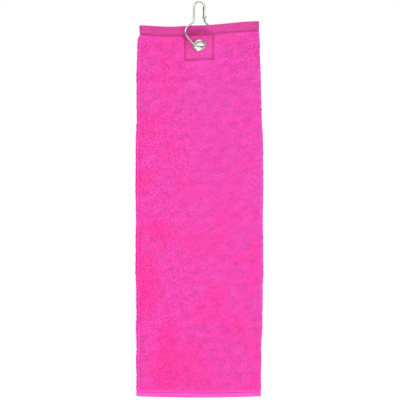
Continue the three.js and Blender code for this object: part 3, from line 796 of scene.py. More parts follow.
def under_patch(drape, s, depth):
    """1 where the patch covers the front panel, 0 outside it."""
    e = drape.eyelet
    x = s - drape.front_edge
    side = smooth((e.patch_width / 2 - np.abs(x)) / 0.0015)
    foot = smooth((e.patch_depth - depth) / 0.0015)
    return side * foot * (s < drape.right_fold)


def beside_patch(drape, s, depth):
    """1 in the shade along the patch's edge, 0 a few millimetres off."""
    e = drape.eyelet
    x = np.abs(s - drape.front_edge)
    side = np.maximum(x - e.patch_width / 2, depth - e.patch_depth)
    return np.exp(-((side / 0.0014) ** 2)) * (s < drape.right_fold) * (side > -0.002)


def build_sheet(scene):
    """The terry sheet, folded in three. Both faces are the pile's half thickness off the folded
    route, raised and lowered by hills, pressed under the patch and thinned at its ends."""
    d = Drape(scene)
    towel = d.towel
    start = towel.side_hem + CLEARANCE - TUCK
    s = sheet_lines(d, start, d.route_end - start, 0.0031, 0.0062)
    depth = depth_lines(d, d.terry_top - TUCK, d.terry_foot + TUCK, 0.0021)
    S, D = np.meshgrid(s, depth, indexing="ij")
    bent_s, bent_d = d.around_eyelet(S, D, scene.golf_eyelet.bore / 2 + scene.golf_eyelet.wall + CLEARANCE)
    edge = np.minimum(D - depth[0], depth[-1] - D)
    body = d.half_pile * 0.74 * (0.55 + 0.45 * rounding(edge, 0.0025))
    hills = lumps(S, D, 0.006, 11) * 0.00009 + lumps(S, D, 0.018, 12) * 0.00012
    near = 1 - smooth((np.hypot(d.route(S)[0], D - d.eyelet.depth) - d.clamp) / 0.006)
    press = 1 - 0.35 * under_patch(d, S, D) * (1 - near)
    thick = body * press * (1 - near) + d.half_pile * near + hills * (1 - near)
    outer = d.place(bent_s, bent_d, thick)
    inner = d.place(bent_s, bent_d, -thick)
    points, faces = two_sided(outer, inner, eyelet_cells(d, S, D))
    # Painted shade: darker at the terry's top and foot, beside the side seams and along the patch's edge.
    seam = towel.side_hem - SEAM_INSET
    beside = np.minimum(S - seam, d.route_end - seam - S)
    ends = np.minimum(D - d.terry_top, d.terry_foot - D)
    crease_shade = 0.4 * np.exp(-((ends / 0.0016) ** 2)) + 0.5 * np.exp(-((beside - 0.002) / 0.0012) ** 2)
    crease_shade = crease_shade + 0.5 * beside_patch(d, S, D)
    return make_object(
        "towel_sheet", points, faces, chart=both_faces(S, D, 0.01), crease_shade=np.tile(crease_shade.ravel(), 2)
    )


# ---- Pile -----------------------------------------------------------------------
# One loop is a bent strand: two roots and two rings of three points between them, closed
LOOP_TURNS = (1.57, 3.67, 5.76)
LOOP_ROWS = np.array(
    [(-1.0, 0.0, -0.35)]
    + [(place, math.cos(a), 0.60 + 0.45 * math.sin(a)) for place in (-0.55, 0.55) for a in LOOP_TURNS]
    + [(1.0, 0.0, -0.35)]
)
LOOP_FACES = np.array(
    [(0, 2, 1), (0, 3, 2), (0, 1, 3)]
    + [(1, 2, 5), (1, 5, 4), (2, 3, 6), (2, 6, 5), (3, 1, 4), (3, 4, 6)]
    + [(7, 4, 5), (7, 5, 6), (7, 6, 4)]
)


def loop_places(s_range, d_range, pitch, rng):
    """Rows of places a pitch apart, every other row shifted by half, each moved a little."""
    across = np.arange(s_range[0], s_range[1], pitch)
    down = np.arange(d_range[0], d_range[1], pitch * 0.88)
    S, D = np.meshgrid(across, down, indexing="ij")
    S = S + (np.arange(len(down)) % 2) * pitch / 2
    S = S + rng.uniform(-0.36, 0.36, S.shape) * pitch
    D = D + rng.uniform(-0.36, 0.36, D.shape) * pitch
    return S.ravel(), D.ravel()


def build_loops(name, scene, s_range, d_range, pitch, side, seed, keep):
    """A field of pile loops on the side of the sheet that shows. Each loop is the bent strand,
    turned at random about the brushed direction and scaled, then placed with the cloth."""
    d = Drape(scene)
    rng = np.random.default_rng(seed)
    s, depth = loop_places(s_range, d_range, pitch, rng)
    kept = keep(d, s, depth)
    s, depth = s[kept], depth[kept]
    count = len(s)
    brushed = lumps(s, depth, 0.035, 21) * 0.9
    angle = brushed + rng.normal(0.0, 1.1, count)
    span = pitch * rng.uniform(0.52, 0.80, count)
    width = pitch * rng.uniform(0.30, 0.40, count)
    height = scene.golf_towel.loop_height * rng.uniform(0.55, 1.05, count)
    height = height * (1 + 0.16 * lumps(s, depth, 0.009, 22))
    from_end = np.minimum(depth - d.terry_top, d.terry_foot - depth)
    height = height * (1 - 0.45 * np.exp(-((from_end / 0.003) ** 2)))
    lean = np.stack([np.sin(brushed * 1.7), np.cos(brushed * 1.3)], -1) * 0.30 * height[:, None]
    length_way, width_way, out_way = LOOP_ROWS.T
    rise = np.clip(out_way, 0, None)
    ls = (
        s[:, None]
        + np.outer(span * np.cos(angle), length_way)
        - np.outer(width * np.sin(angle), width_way)
        + np.outer(lean[:, 0], rise)
    )
    ld = (
        depth[:, None]
        + np.outer(span * np.sin(angle), length_way)
        + np.outer(width * np.cos(angle), width_way)
        + np.outer(lean[:, 1], rise)
    )
    hemmed = np.minimum(ls, d.route_end - ls) < scene.golf_towel.side_hem
    lw = side * (d.half_pile * (0.66 + 0.15 * hemmed) + np.outer(height, out_way))
    points = d.place(ls, ld, lw).reshape(-1, 3)
    faces = (LOOP_FACES[None] + 8 * np.arange(count)[:, None, None]).reshape(-1, 3)
    chart = np.stack([ls, ld], -1).reshape(-1, 2)
    # Painted shade: darker towards each loop's root and along the patch's edge, with a random darkness per
    # loop on top.
    deep = np.clip(0.75 - out_way, 0, 1) + 0.25 * rng.uniform(0, 1, count)[:, None]
    deep = deep + 0.45 * beside_patch(d, ls, ld)
    return make_object(name, points, outward(points, [faces]), chart=chart, crease_shade=deep.ravel())


def open_pile(drape, s, depth):
    """False under the patch, along the side seams and past the terry's ends."""
    d = drape
    towel = d.towel
    seam = towel.side_hem - SEAM_INSET
    away = np.minimum(np.abs(s - seam), np.abs(d.route_end - seam - s))
    inside = (depth > d.terry_top + 0.0003) & (depth < d.terry_foot - 0.0003)
    clear = (under_patch(d, s, depth) < 0.02) & (away > 0.0008)
    x = d.route(s)[0]
    washer = np.hypot(x, depth - d.eyelet.depth) > d.clamp
    return inside & clear & (washer | (s < d.right_fold)) & (s > 0.0008) & (s < d.route_end - 0.0008)


# ---- Hems -----------------------------------------------------------------------
def build_band(name, scene, top, foot, round_top, seam, seed):
    """A woven band round the whole fold. Its faces are the pile's half thickness off the route,
    rounded at its outer edge, with a valley along the seam, ribs and puckers beside it."""
    d = Drape(scene)
    s = lines(
        steps(0, 0.002, 0.0004),
        steps(0.002, d.right_fold, 0.0016),
        steps(d.right_fold, d.middle_start, d.arc / 10),
        steps(d.middle_start, d.left_fold, 0.0060),
        steps(d.left_fold, d.back_start, d.arc / 10),
        steps(d.back_start, d.route_end - 0.002, 0.0016),
        steps(d.route_end - 0.002, d.route_end, 0.0004),
    )
    curve = steps(0, 0.0012, 0.0002)
    rim = top + curve if round_top else foot - curve
    depth = lines(steps(top, foot, 0.00045), rim)
    S, D = np.meshgrid(s, depth, indexing="ij")
    ends = rounding(np.minimum(S, d.route_end - S), 0.0012)
    edge = D - top if round_top else foot - D
    inner_edge = foot - D if round_top else D - top
    tuck = 0.55 + 0.45 * smooth(inner_edge / 0.0012)
    ribs = 0.00003 * np.sin(2 * np.pi * D / 0.0011)
    pucker = lumps(S, D * 0.3, 0.0048, seed) * 0.00012 * np.exp(-(((D - seam) / 0.004) ** 2))
    hills = lumps(S, D, 0.022, seed + 1) * 0.00016
    full = d.half_pile * 0.96 * rounding(edge, 0.0011) * tuck * ends
    thick = full + (ribs + pucker + hills - groove(D - seam, 0.0009, 0.0007)) * ends
    points, faces = two_sided(d.place(S, D, thick), d.place(S, D, -thick))
    chart = both_faces(S, D, 0.01)
    # Painted shade along the seam and at the band's inner edge, where it meets the terry.
    crease_shade = np.exp(-(((D - seam) / 0.0010) ** 2)) + 0.5 * np.exp(-((inner_edge / 0.0008) ** 2))
    return make_object(name, points, faces, chart, chart, np.tile(crease_shade.ravel(), 2))


def build_side_hem(name, scene, start, end, seam):
    """The sheet's side edge turned under: rounded at its free edge, with a valley at the seam."""
    d = Drape(scene)
    free_first = start == 0
    s = steps(start, end, 0.0004)
    depth = steps(d.terry_top - 0.0003, d.terry_foot + 0.0003, 0.0018)
    S, D = np.meshgrid(s, depth, indexing="ij")
    away = S - start if free_first else end - S
    waves = lumps(S, D, 0.007, 31) * 0.00010
    thick = d.half_pile * 0.80 * rounding(away, 0.0016) + waves * smooth(away / 0.001)
    thick = thick - groove(S - seam, 0.0008, 0.0005)
    points, faces = two_sided(d.place(S, D, thick), d.place(S, D, -thick))
    # Painted shade along the seam.
    crease_shade = np.tile(np.exp(-(((S - seam) / 0.0009) ** 2)).ravel(), 2)
    return make_object(name, points, faces, chart=both_faces(S, D, 0.002), crease_shade=crease_shade)


# ---- Patch ----------------------------------------------------------------------
def patch_face(drape, x, depth):
    """How far the patch's outer face is off the front panel's middle: a turned edge, a valley
    along the seam on three sides, a puffed middle, and flat where the eyelet presses it."""
    e = drape.eyelet
    side = e.patch_width / 2 - np.abs(x)
    foot = e.patch_depth - depth
    top = depth - drape.terry_top
    rim = np.minimum(side, foot)
    near = 1 - smooth((np.hypot(x, depth - e.depth) - drape.clamp) / 0.005)
    base = drape.half_pile + e.patch_gap * 0.55 + e.patch_cloth
    turned = 0.00022 * (1 - smooth((rim - 0.0042) / 0.001))
    puff = 0.0004 * smooth((rim - SEAM_INSET) / 0.006) * smooth(top / 0.006)
    valley = groove(rim - SEAM_INSET, 0.0008, 0.00062)
    tuck = 0.0011 * (1 - smooth(top / 0.0032))
    pucker = lumps(x, depth, 0.0052, 41) * 0.00013 * np.exp(-((rim / 0.004) ** 2))
    free = base + turned + puff - valley - tuck + pucker + lumps(x, depth, 0.011, 42) * 0.00009
    pressed = drape.half_pile + e.patch_gap + e.patch_cloth + CLEARANCE / drape.pressed * 0.8
    return free * (1 - near) + pressed * near


def build_patch(scene):
    """The sewn patch: the face above, and an inner face a cloth's thickness behind it, rounded at
    its edges, with the eyelet's hole."""
    d = Drape(scene)
    e = scene.golf_eyelet
    half = e.patch_width / 2
    near = hole_lines(step=0.0008)
    run = steps(-half, half, 0.0006)
    turned_edge = steps(0, 0.0009, 0.00015)
    x = lines(run[np.abs(run) > near.max()], near, half - turned_edge, turned_edge - half)
    down = steps(d.terry_top - 0.0004, e.patch_depth, 0.0006)
    close = near + e.depth
    depth = lines(
        down[(down < close.min()) | (down > close.max())],
        close[close > down[0]],
        e.patch_depth - turned_edge,
        down[:1],
    )
    X, D = np.meshgrid(x, depth, indexing="ij")
    S = X + d.front_edge
    bent_s, bent_d = d.around_eyelet(S, D, e.bore / 2 + e.wall + CLEARANCE)
    face = patch_face(d, X, D)
    rim = np.minimum(half - np.abs(X), e.patch_depth - D)
    thick = e.patch_cloth * rounding(rim, 0.0007)
    drop = (e.patch_cloth - thick) * 0.5
    outer = d.place(bent_s, bent_d, face - drop)
    inner = d.place(bent_s, bent_d, face - drop - thick)
    points, faces = two_sided(outer, inner, eyelet_cells(d, S, D))
    chart = both_faces(X, D, 0.002)
    # Painted shade along the seam and at the patch's rim.
    crease_shade = 1.5 * np.exp(-(((rim - SEAM_INSET) / 0.0008) ** 2)) + 1.2 * np.exp(-((rim / 0.0007) ** 2))
    return make_object("eyelet_patch_cloth", points, faces, chart, chart, np.tile(crease_shade.ravel(), 2))


# ---- Stitches -------------------------------------------------------------------
STITCH_PITCH = 0.0026
THREAD_RADIUS = 0.00026


def run_of_stitches(corners):
    """Middles and directions of stitches a pitch apart on straight runs between (s, depth) corners."""
    places, ways = [], []
    for first, second in zip(corners[:-1], corners[1:]):
        first, second = np.array(first), np.array(second)
        reach = np.linalg.norm(second - first)
        count = max(1, int(round(reach / STITCH_PITCH)))
        t = (np.arange(count) + 0.5) / count
        places.append(first + t[:, None] * (second - first))
        ways.append(np.tile((second - first) / reach, (count, 1)))
    return np.concatenate(places), np.concatenate(ways)


def build_stitches(name, scene, corners, level, side, seed):
    """A row of lock stitches. Each is a thread that leaves the cloth, arches over it and goes
    back in: rings of six round an arc, closed with a point at each end."""
    d = Drape(scene)
    rng = np.random.default_rng(seed)
    places, ways = run_of_stitches(corners)
    count = len(places)
    t = np.array([-1.0, -0.86, -0.45, 0.0, 0.45, 0.86, 1.0])
    radius = np.array([0.03, 0.72, 1.0, 1.04, 1.0, 0.72, 0.03]) * THREAD_RADIUS
    arch = 0.00030 * (1 - np.abs(t) ** 2.4) - 0.00016
    turn = np.arange(6) * np.pi / 3
    along = np.repeat(t[:, None] * STITCH_PITCH * 0.44, 6, 1)
    across = radius[:, None] * np.cos(turn)
    out = arch[:, None] + radius[:, None] * np.sin(turn)
    skew = rng.normal(0.0, 0.05, count)[:, None, None]
    along, across = along[None] - across[None] * skew, across[None] + along[None] * skew
    s = places[:, 0, None, None] + along * ways[:, 0, None, None] - across * ways[:, 1, None, None]
    depth = places[:, 1, None, None] + along * ways[:, 1, None, None] + across * ways[:, 0, None, None]
    off = level(d, s, depth) + side * out[None]
    rings = d.place(s, depth, off)
    n, k = len(t), 6
    at = np.arange(n * k).reshape(n, k)
    after = np.roll(at, -1, 1)
    tube = np.stack([at[:-1], after[:-1], after[1:], at[1:]], -1).reshape(-1, 4)
    caps = np.concatenate([at[:1, ::-1], at[-1:]])
    shift = (n * k * np.arange(count))[:, None, None]
    points = rings.reshape(-1, 3)
    faces = [(tube[None] + shift).reshape(-1, 4), (caps[None] + shift).reshape(-1, 6)]
    chart = np.stack(np.broadcast_arrays(s, depth), -1).reshape(-1, 2)
    return make_object(name, points, outward(points, faces), chart=chart)


# ---- Eyelet ---------------------------------------------------------------------
def eyelet_frame(drape):
    """(centre, axis, two directions across it) of the eyelet."""
    axis = np.array([-drape.tan_yaw, -1.0, drape.tan_lean]) * drape.facing
    across = np.cross(axis, [0.0, 0.0, 1.0])
    across /= np.linalg.norm(across)
    return np.array([0.0, drape.middle, drape.centre_z]), axis, across, np.cross(axis, across)


def turned(profile, centre, axis, across, up, sides=96):
    """A closed profile of (radius, height) points carried round an axis."""
    angle = np.arange(sides) * 2 * np.pi / sides
    ring = np.cos(angle)[:, None] * across + np.sin(angle)[:, None] * up
    points = centre + profile[None, :, :1] * ring[:, None, :] + profile[None, :, 1:] * axis
    return ringed(points, closed=True)


def half_roll(middle, base, half, height, count=15):
    """Half an ellipse from its outer foot to its inner one."""
    angle = np.linspace(0, np.pi, count)
    return np.stack([middle + half * np.cos(angle), base + height * np.sin(angle)], -1)


def build_eyelet(scene):
    """Rolled flange, barrel and curled end as one closed profile turned about the eyelet's axis."""
    d = Drape(scene)
    e = scene.golf_eyelet
    bore, flange = e.bore / 2, e.flange / 2
    seat = e.clamped / 2 + CLEARANCE
    under = -(seat + e.washer + CLEARANCE)
    dome = half_roll((flange + bore) / 2, seat, (flange - bore) / 2, e.dome, 23)
    curl = half_roll(bore + e.curl_width / 2, under, e.curl_width / 2, -e.curl_height)[::-1]
    barrel = bore + e.wall
    inside = np.stack([np.full(9, bore), np.linspace(seat, under, 9)], -1)[1:-1]
    outside = np.stack([np.full(7, barrel), np.linspace(under, seat, 7)], -1)
    lip = np.array([[flange - 0.0003, seat - 0.00005]])
    profile = np.concatenate([dome, inside, curl[:-1], outside, lip])
    return make_object("eyelet_ring", *turned(profile, *eyelet_frame(d)))


def build_washer(scene):
    """A flat ring with a rounded outer edge."""
    d = Drape(scene)
    e = scene.golf_eyelet
    inner, outer = e.bore / 2 + e.wall + CLEARANCE, e.flange / 2
    top = -(e.clamped / 2 + CLEARANCE)
    angle = np.linspace(np.pi / 2, -np.pi / 2, 9)
    half = e.washer / 2
    edge = np.stack([outer - half + half * np.cos(angle), top - half + half * np.sin(angle)], -1)
    profile = np.concatenate([edge, [[inner, top - e.washer], [inner, top]]])
    return make_object("eyelet_back_washer", *turned(profile, *eyelet_frame(d)))


# ---- Hook -----------------------------------------------------------------------
GATE_ROWS = 24
GATE_CORNER = 0.0011


def in_hook_plane(scene, x, y, z):
    """Points drawn in the hook's plane, turned about the vertical as it hangs."""
    turn = scene.golf_hook.turn
    c, s = math.cos(turn), math.sin(turn)
    return np.stack([x * c - y * s, x * s + y * c, z + 0 * x], -1)


def crossing(a, rise_a, b, rise_b):
    """Where two lines cross, each given by a point and its rise per unit of x."""
    x = (b[1] - a[1] + rise_a * a[0] - rise_b * b[0]) / (rise_a - rise_b)
    return np.array([x, a[1] + rise_a * (x - a[0])])


def rounded_run(points, radii, step):
    """A line through corners, each rounded with its own radius, with points a step apart."""
    points = [np.array(p, float) for p in points]
    run, last = [], points[0]
    for before, at, after, radius in zip(points[:-2], points[1:-1], points[2:], radii):
        a = (before - at) / np.linalg.norm(before - at)
        b = (after - at) / np.linalg.norm(after - at)
        half = math.acos(float(a @ b)) / 2
        first, second = at + a * radius / math.tan(half), at + b * radius / math.tan(half)
        middle = at + (a + b) / np.linalg.norm(a + b) * radius / math.sin(half)
        start = math.atan2(*(first - middle)[::-1])
        sweep = (math.atan2(*(second - middle)[::-1]) - start + math.pi) % (2 * math.pi) - math.pi
        straight = np.linalg.norm(first - last)
        t = np.linspace(0, 1, max(2, int(straight / step)), endpoint=False)[:, None]
        run.append(last + t * (first - last))
        angle = start + sweep * np.linspace(0, 1, max(6, int(abs(sweep) * radius / step)), endpoint=False)
        run.append(middle + radius * np.stack([np.cos(angle), np.sin(angle)], -1))
        last = second
    t = np.linspace(0, 1, max(3, int(np.linalg.norm(points[-1] - last) / step)))[:, None]
    run.append(last + t * (points[-1] - last))
    run = np.concatenate(run)
    apart = np.linalg.norm(np.diff(run, axis=0), axis=1) > 1e-7
    return run[np.insert(apart, 0, True)]


def hook_run(h, step):
    """The wire's middle line from the nose round the top, down the left and back to the rivet."""
    bottom = np.array([h.bottom_offset, -h.bottom_drop + h.bottom_radius])

    def tangent(slope, side):
        """The point of the bottom bend where a line of this slope leaves it, and its rise."""
        at = bottom + h.bottom_radius * np.array([side * math.sin(slope), -math.cos(slope)])
        return at, side * math.tan(slope)

    left, right = tangent(h.left_slope, -1), tangent(h.right_slope, 1)
    rise = math.tan(h.shoulder_slope)
    left_shoulder = np.array([-h.shoulder_half, -h.shoulder_drop])
    right_shoulder = np.array([h.shoulder_half, -h.shoulder_drop])
    top = h.wire / 2
    corners = [
        ((h.neck_half, top), h.neck_half * 0.9999),
        ((-h.neck_half, top), h.neck_half * 0.9999),
        (left_shoulder, h.shoulder_radius),
        (crossing(left_shoulder, rise, *left), h.belly_radius),
        (crossing(*left, *right), h.bottom_radius),
        (crossing(right_shoulder, -rise, *right), h.belly_radius),
        (right_shoulder, h.shoulder_radius),
    ]
    nose, pivot = (h.neck_half, -h.nose_drop), (h.neck_half, -h.pivot_drop)
    places = [nose, *[at for at, _ in corners], pivot]
    return rounded_run(places, [radius for _, radius in corners], step)


def build_wire(scene):
    """The hook's wire: a circle carried along the bent line, domed at the nose, and flattened into
    a round tongue where the rivet goes through."""
    h = scene.golf_hook
    radius = h.wire / 2
    run = hook_run(h, 0.00045)
    nose = run[0] - np.array([0.0, 1.0]) * np.linspace(radius * 0.98, 0, 7, endpoint=False)[:, None]
    way = (run[-1] - run[-2]) / np.linalg.norm(run[-1] - run[-2])
    reach = h.tongue * np.sin(np.linspace(0, np.pi / 2, 9))[1:] * 0.985
    run = np.concatenate([nose, run, run[-1] + way * reach[:, None]])
    gone = np.concatenate([[0.0], np.cumsum(np.linalg.norm(np.diff(run, axis=0), axis=1))])
    tangent = np.gradient(run, axis=0)
    tangent /= np.linalg.norm(tangent, axis=1)[:, None]
    side = np.stack([-tangent[:, 1], tangent[:, 0]], -1)
    dome = np.sqrt(np.clip(1 - ((radius - gone) / radius).clip(0, 1) ** 2, 0.0004, 1))
    left = gone[-1] - gone
    flat = 1 - smooth((left - 1.1 * h.tongue) / (1.6 * h.tongue))
    disc = np.sqrt(np.clip(h.tongue**2 - np.clip(h.tongue - left, 0, None) ** 2, 1e-9, None))
    wide = radius * (1 - flat) + disc * flat
    thin = radius * (1 - flat) + h.tongue_sheet / 2 * flat
    angle = np.arange(28) * 2 * np.pi / 28
    power = 1 - 0.45 * flat[:, None]
    c, s = np.cos(angle)[None], np.sin(angle)[None]
    across = wide[:, None] * dome[:, None] * np.sign(c) * np.abs(c) ** power
    through = thin[:, None] * dome[:, None] * np.sign(s) * np.abs(s) ** power
    x = run[:, :1] + side[:, :1] * across
    z = run[:, 1:] + side[:, 1:] * across
    points, faces = ringed(in_hook_plane(scene, x, through, z))
    return make_object("hook_bent_wire", points, faces)


def build_gate(scene):
    """The gate's channel as one bent sheet: cheek, rounded corner, web, rounded corner, cheek, on a
    grid down its height. Under the web only the two cheeks go on, into round ears."""
    h = scene.golf_hook
    radius = h.wire / 2
    cheek = radius + h.gate_gap + h.sheet / 2
    web_x = h.neck_half - radius - h.gate_gap - h.sheet / 2
    foot = -h.pivot_drop + h.tongue + 0.001
    bend = 0.0006
    low = -h.pivot_drop - h.ear * 0.995
    ear_down = foot + (low - foot) * np.sin(np.linspace(0, np.pi / 2, 22))[1:]
    z = np.concatenate([np.linspace(-h.gate_top, foot, GATE_ROWS), ear_down])
    open_edge = h.neck_half + radius
    from_corner = np.clip(GATE_CORNER - (z[0] - z), 0, None)
    corner = GATE_CORNER - np.sqrt(np.clip(GATE_CORNER**2 - from_corner**2, 0, None))
    drop = np.clip(z + h.pivot_drop, None, 0)
    disc = np.sqrt(np.clip(h.ear**2 - drop**2, (0.06 * h.ear) ** 2, None))
    below = np.clip((foot - z) / (foot + h.pivot_drop), 0, 1)
    round_part = z < -h.pivot_drop
    far = np.where(round_part, h.neck_half + disc, open_edge + (h.ear - radius) * smooth(below))
    slope_in = web_x + (h.neck_half - h.ear - web_x) * smooth(below)
    near = np.where(round_part, h.neck_half - disc, slope_in)
    far = far - corner
    t = np.linspace(0, 1, 9)[None]
    start = near + bend * (1 - smooth(below * 4))
    run_x = far[:, None] + (start - far)[:, None] * t
    turn = np.linspace(0, np.pi / 2, 6)[None, 1:]
    x = np.concatenate(
        [
            run_x,
            web_x + bend - bend * np.sin(turn) + 0 * z[:, None],
            np.full((len(z), 5), web_x),
            web_x + bend - bend * np.sin(turn[:, ::-1]) + 0 * z[:, None],
            run_x[:, ::-1],
        ],
        1,
    )
    across = np.concatenate(
        [
            np.full(9, -cheek),
            -cheek + bend - bend * np.cos(turn[0]),
            np.linspace(-cheek + bend, cheek - bend, 7)[1:-1],
            cheek - bend + bend * np.cos(turn[0, ::-1]),
            np.full(9, cheek),
        ]
    )
    across = np.broadcast_to(across, x.shape)
    n, m = x.shape
    cells = open_cells(n, m)
    kept = np.ones((n - 1, m - 1), bool)
    kept[GATE_ROWS - 1 :, 8:-8] = False
    points = in_hook_plane(scene, x, across, np.broadcast_to(z[:, None], x.shape)).reshape(-1, 3)
    piece = make_object("gate_channel", points, [cells[kept]])
    recalculate(piece)
    wall = piece.modifiers.new("Sheet", "SOLIDIFY")
    wall.thickness, wall.offset, wall.use_even_offset = h.sheet, 0.0, True
    soft = piece.modifiers.new("Worn edges", "BEVEL")
    soft.width, soft.segments, soft.limit_method = 0.00009, 2, "ANGLE"
    return piece


def recalculate(piece):
    """Turns an open sheet's faces one way, before it gets its wall."""
    mesh = bmesh.new()
    mesh.from_mesh(piece.data)
    bmesh.ops.recalc_face_normals(mesh, faces=mesh.faces)
    mesh.to_mesh(piece.data)
    mesh.free()


def build_rivet(scene):
    """The gate's pin: a shank with a domed head at each end, turned about the pin's axis."""
    h = scene.golf_hook
    seat = h.wire / 2 + h.gate_gap + h.sheet + 0.00015
    angle = np.linspace(0, np.pi / 2, 8)
    head = np.stack([h.rivet_head * np.cos(angle), seat + h.rivet_dome * (0.25 + 0.75 * np.sin(angle))], -1)
    head = np.concatenate([[[h.rivet, seat], [h.rivet_head, seat]], head])
    head[-1, 0] = 0.00002
    profile = np.concatenate([(head * [1, -1])[::-1], head])
    around = np.arange(40) * 2 * np.pi / 40
    x = h.neck_half + profile[:, :1] * np.cos(around)
    z = -h.pivot_drop + profile[:, :1] * np.sin(around)
    y = np.broadcast_to(profile[:, 1:], x.shape)
    return make_object("gate_rivet_pin", *ringed(in_hook_plane(scene, x, y, z)))


def build_spring(scene):
    """The leaf behind the web: a strip that leaves the web and ends in a toe on the tongue."""
    h = scene.golf_hook
    radius = h.wire / 2
    start = h.neck_half - radius - h.gate_gap + 0.00028
    toe = -h.pivot_drop + h.tongue + 0.00028
    points = [(start, -h.nose_drop - 0.002), (start, toe + 0.0035), (h.neck_half - 0.0003, toe + 0.0003)]
    run = rounded_run([*points, (h.neck_half + 0.0003, toe)], [0.004, 0.0006], 0.0003)
    half = radius + h.gate_gap - CLEARANCE
    wide = np.linspace(-half, half, 9)
    x = np.repeat(run[:, :1], 9, 1)
    z = np.repeat(run[:, 1:], 9, 1)
    y = np.broadcast_to(wide, x.shape)
    cells = open_cells(*x.shape).reshape(-1, 4)
    piece = make_object("gate_leaf_spring", in_hook_plane(scene, x, y, z).reshape(-1, 3), [cells])
    recalculate(piece)
    wall = piece.modifiers.new("Leaf", "SOLIDIFY")
    wall.thickness, wall.offset = h.leaf, 0.0
    return piece


# ---- Operators --------------------------------------------------------------------
class GOLFTOWEL_OT_sheet(Operator):
    """Make the folded terry sheet"""

    bl_idname = "golf_towel.sheet"
    bl_label = "Towel Sheet"

    def execute(self, context):
        towel = context.scene.golf_towel
        ground = terry_finish("Terry ground", towel.shaded_ground_colour, 1.0)
        dressed(build_sheet(context.scene), ground, "terry_cloth", "towel", "towel_cloth")
        return {"FINISHED"}


class GOLFTOWEL_OT_pile(Operator):
    """Make the pile loops of the outer panels and of the folds"""

    bl_idname = "golf_towel.pile"
    bl_label = "Pile Loops"

    def execute(self, context):
        scene = context.scene
        towel = scene.golf_towel
        d = Drape(scene)
        material = terry_finish("Terry pile", towel.pile_colour, 0.0)
        thirds = np.linspace(d.terry_top, d.terry_foot, 4)
        fields = []
        for part, top, foot in zip(("upper", "middle", "lower"), thirds[:-1], thirds[1:]):
            fields.append((f"pile_front_{part}", (0.0008, d.right_fold), (top, foot), 1))
            fields.append((f"pile_back_{part}", (d.back_start, d.route_end - 0.0008), (top, foot), -1))
        whole = (d.terry_top, d.terry_foot)
        fields.append(("pile_right_fold", (d.right_fold, d.middle_start), whole, 1))
        fields.append(("pile_left_fold", (d.left_fold, d.back_start), whole, -1))
        for number, (name, s_range, d_range, side) in enumerate(fields):
            seed = towel.loop_seed + number
            piece = build_loops(name, scene, s_range, d_range, LOOP_PITCH, side, seed, open_pile)
            dressed(piece, material, "terry_cloth", "towel")
        return {"FINISHED"}


class GOLFTOWEL_OT_hems(Operator):
    """Make the woven bands at the top and bottom and the turned side edges"""

    bl_idname = "golf_towel.hems"
    bl_label = "Hems"

    def execute(self, context):
        scene = context.scene
        towel = scene.golf_towel
        d = Drape(scene)
        woven = woven_finish("Woven band", towel.hem_colour, 0.0009)
        light = woven_finish("Woven foot", tinted(towel.hem_colour, 1.55, 2.1, 1.85)[:3], 0.0009)
        terry = terry_finish("Terry edge", towel.pile_colour, 0.8)
        top_seam = towel.top_hem - SEAM_INSET
        foot = d.length - towel.bottom_hem
        top = build_band("top_hem_band", scene, 0.0, d.terry_top + 0.0006, True, top_seam, 51)
        dressed(top, woven, "flat_weave", "towel", "top_hem")
        low = build_band("bottom_hem_band", scene, foot - 0.0009, d.length, False, foot + SEAM_INSET, 61)
        dressed(low, light, "flat_weave", "towel", "bottom_hem")
        seam = towel.side_hem - SEAM_INSET
        front = build_side_hem("front_side_edge", scene, 0.0, towel.side_hem, seam)
        dressed(front, terry, "terry_cloth", "towel", "front_side_hem")
        end = d.route_end
        back = build_side_hem("back_side_edge", scene, end - towel.side_hem, end, end - seam)
        dressed(back, terry, "terry_cloth", "towel", "back_side_hem")
        return {"FINISHED"}


class GOLFTOWEL_OT_patch(Operator):
    """Make the patch that the eyelet is punched through"""

    bl_idname = "golf_towel.patch"
    bl_label = "Eyelet Patch"

    def execute(self, context):
        base = context.scene.golf_towel.hem_colour
        woven = woven_finish("Patch twill", tinted(base, 1.20, 1.15, 1.24)[:3], 0.0008)
        dressed(build_patch(context.scene), woven, "flat_weave", "towel", "eyelet_patch")
        return {"FINISHED"}


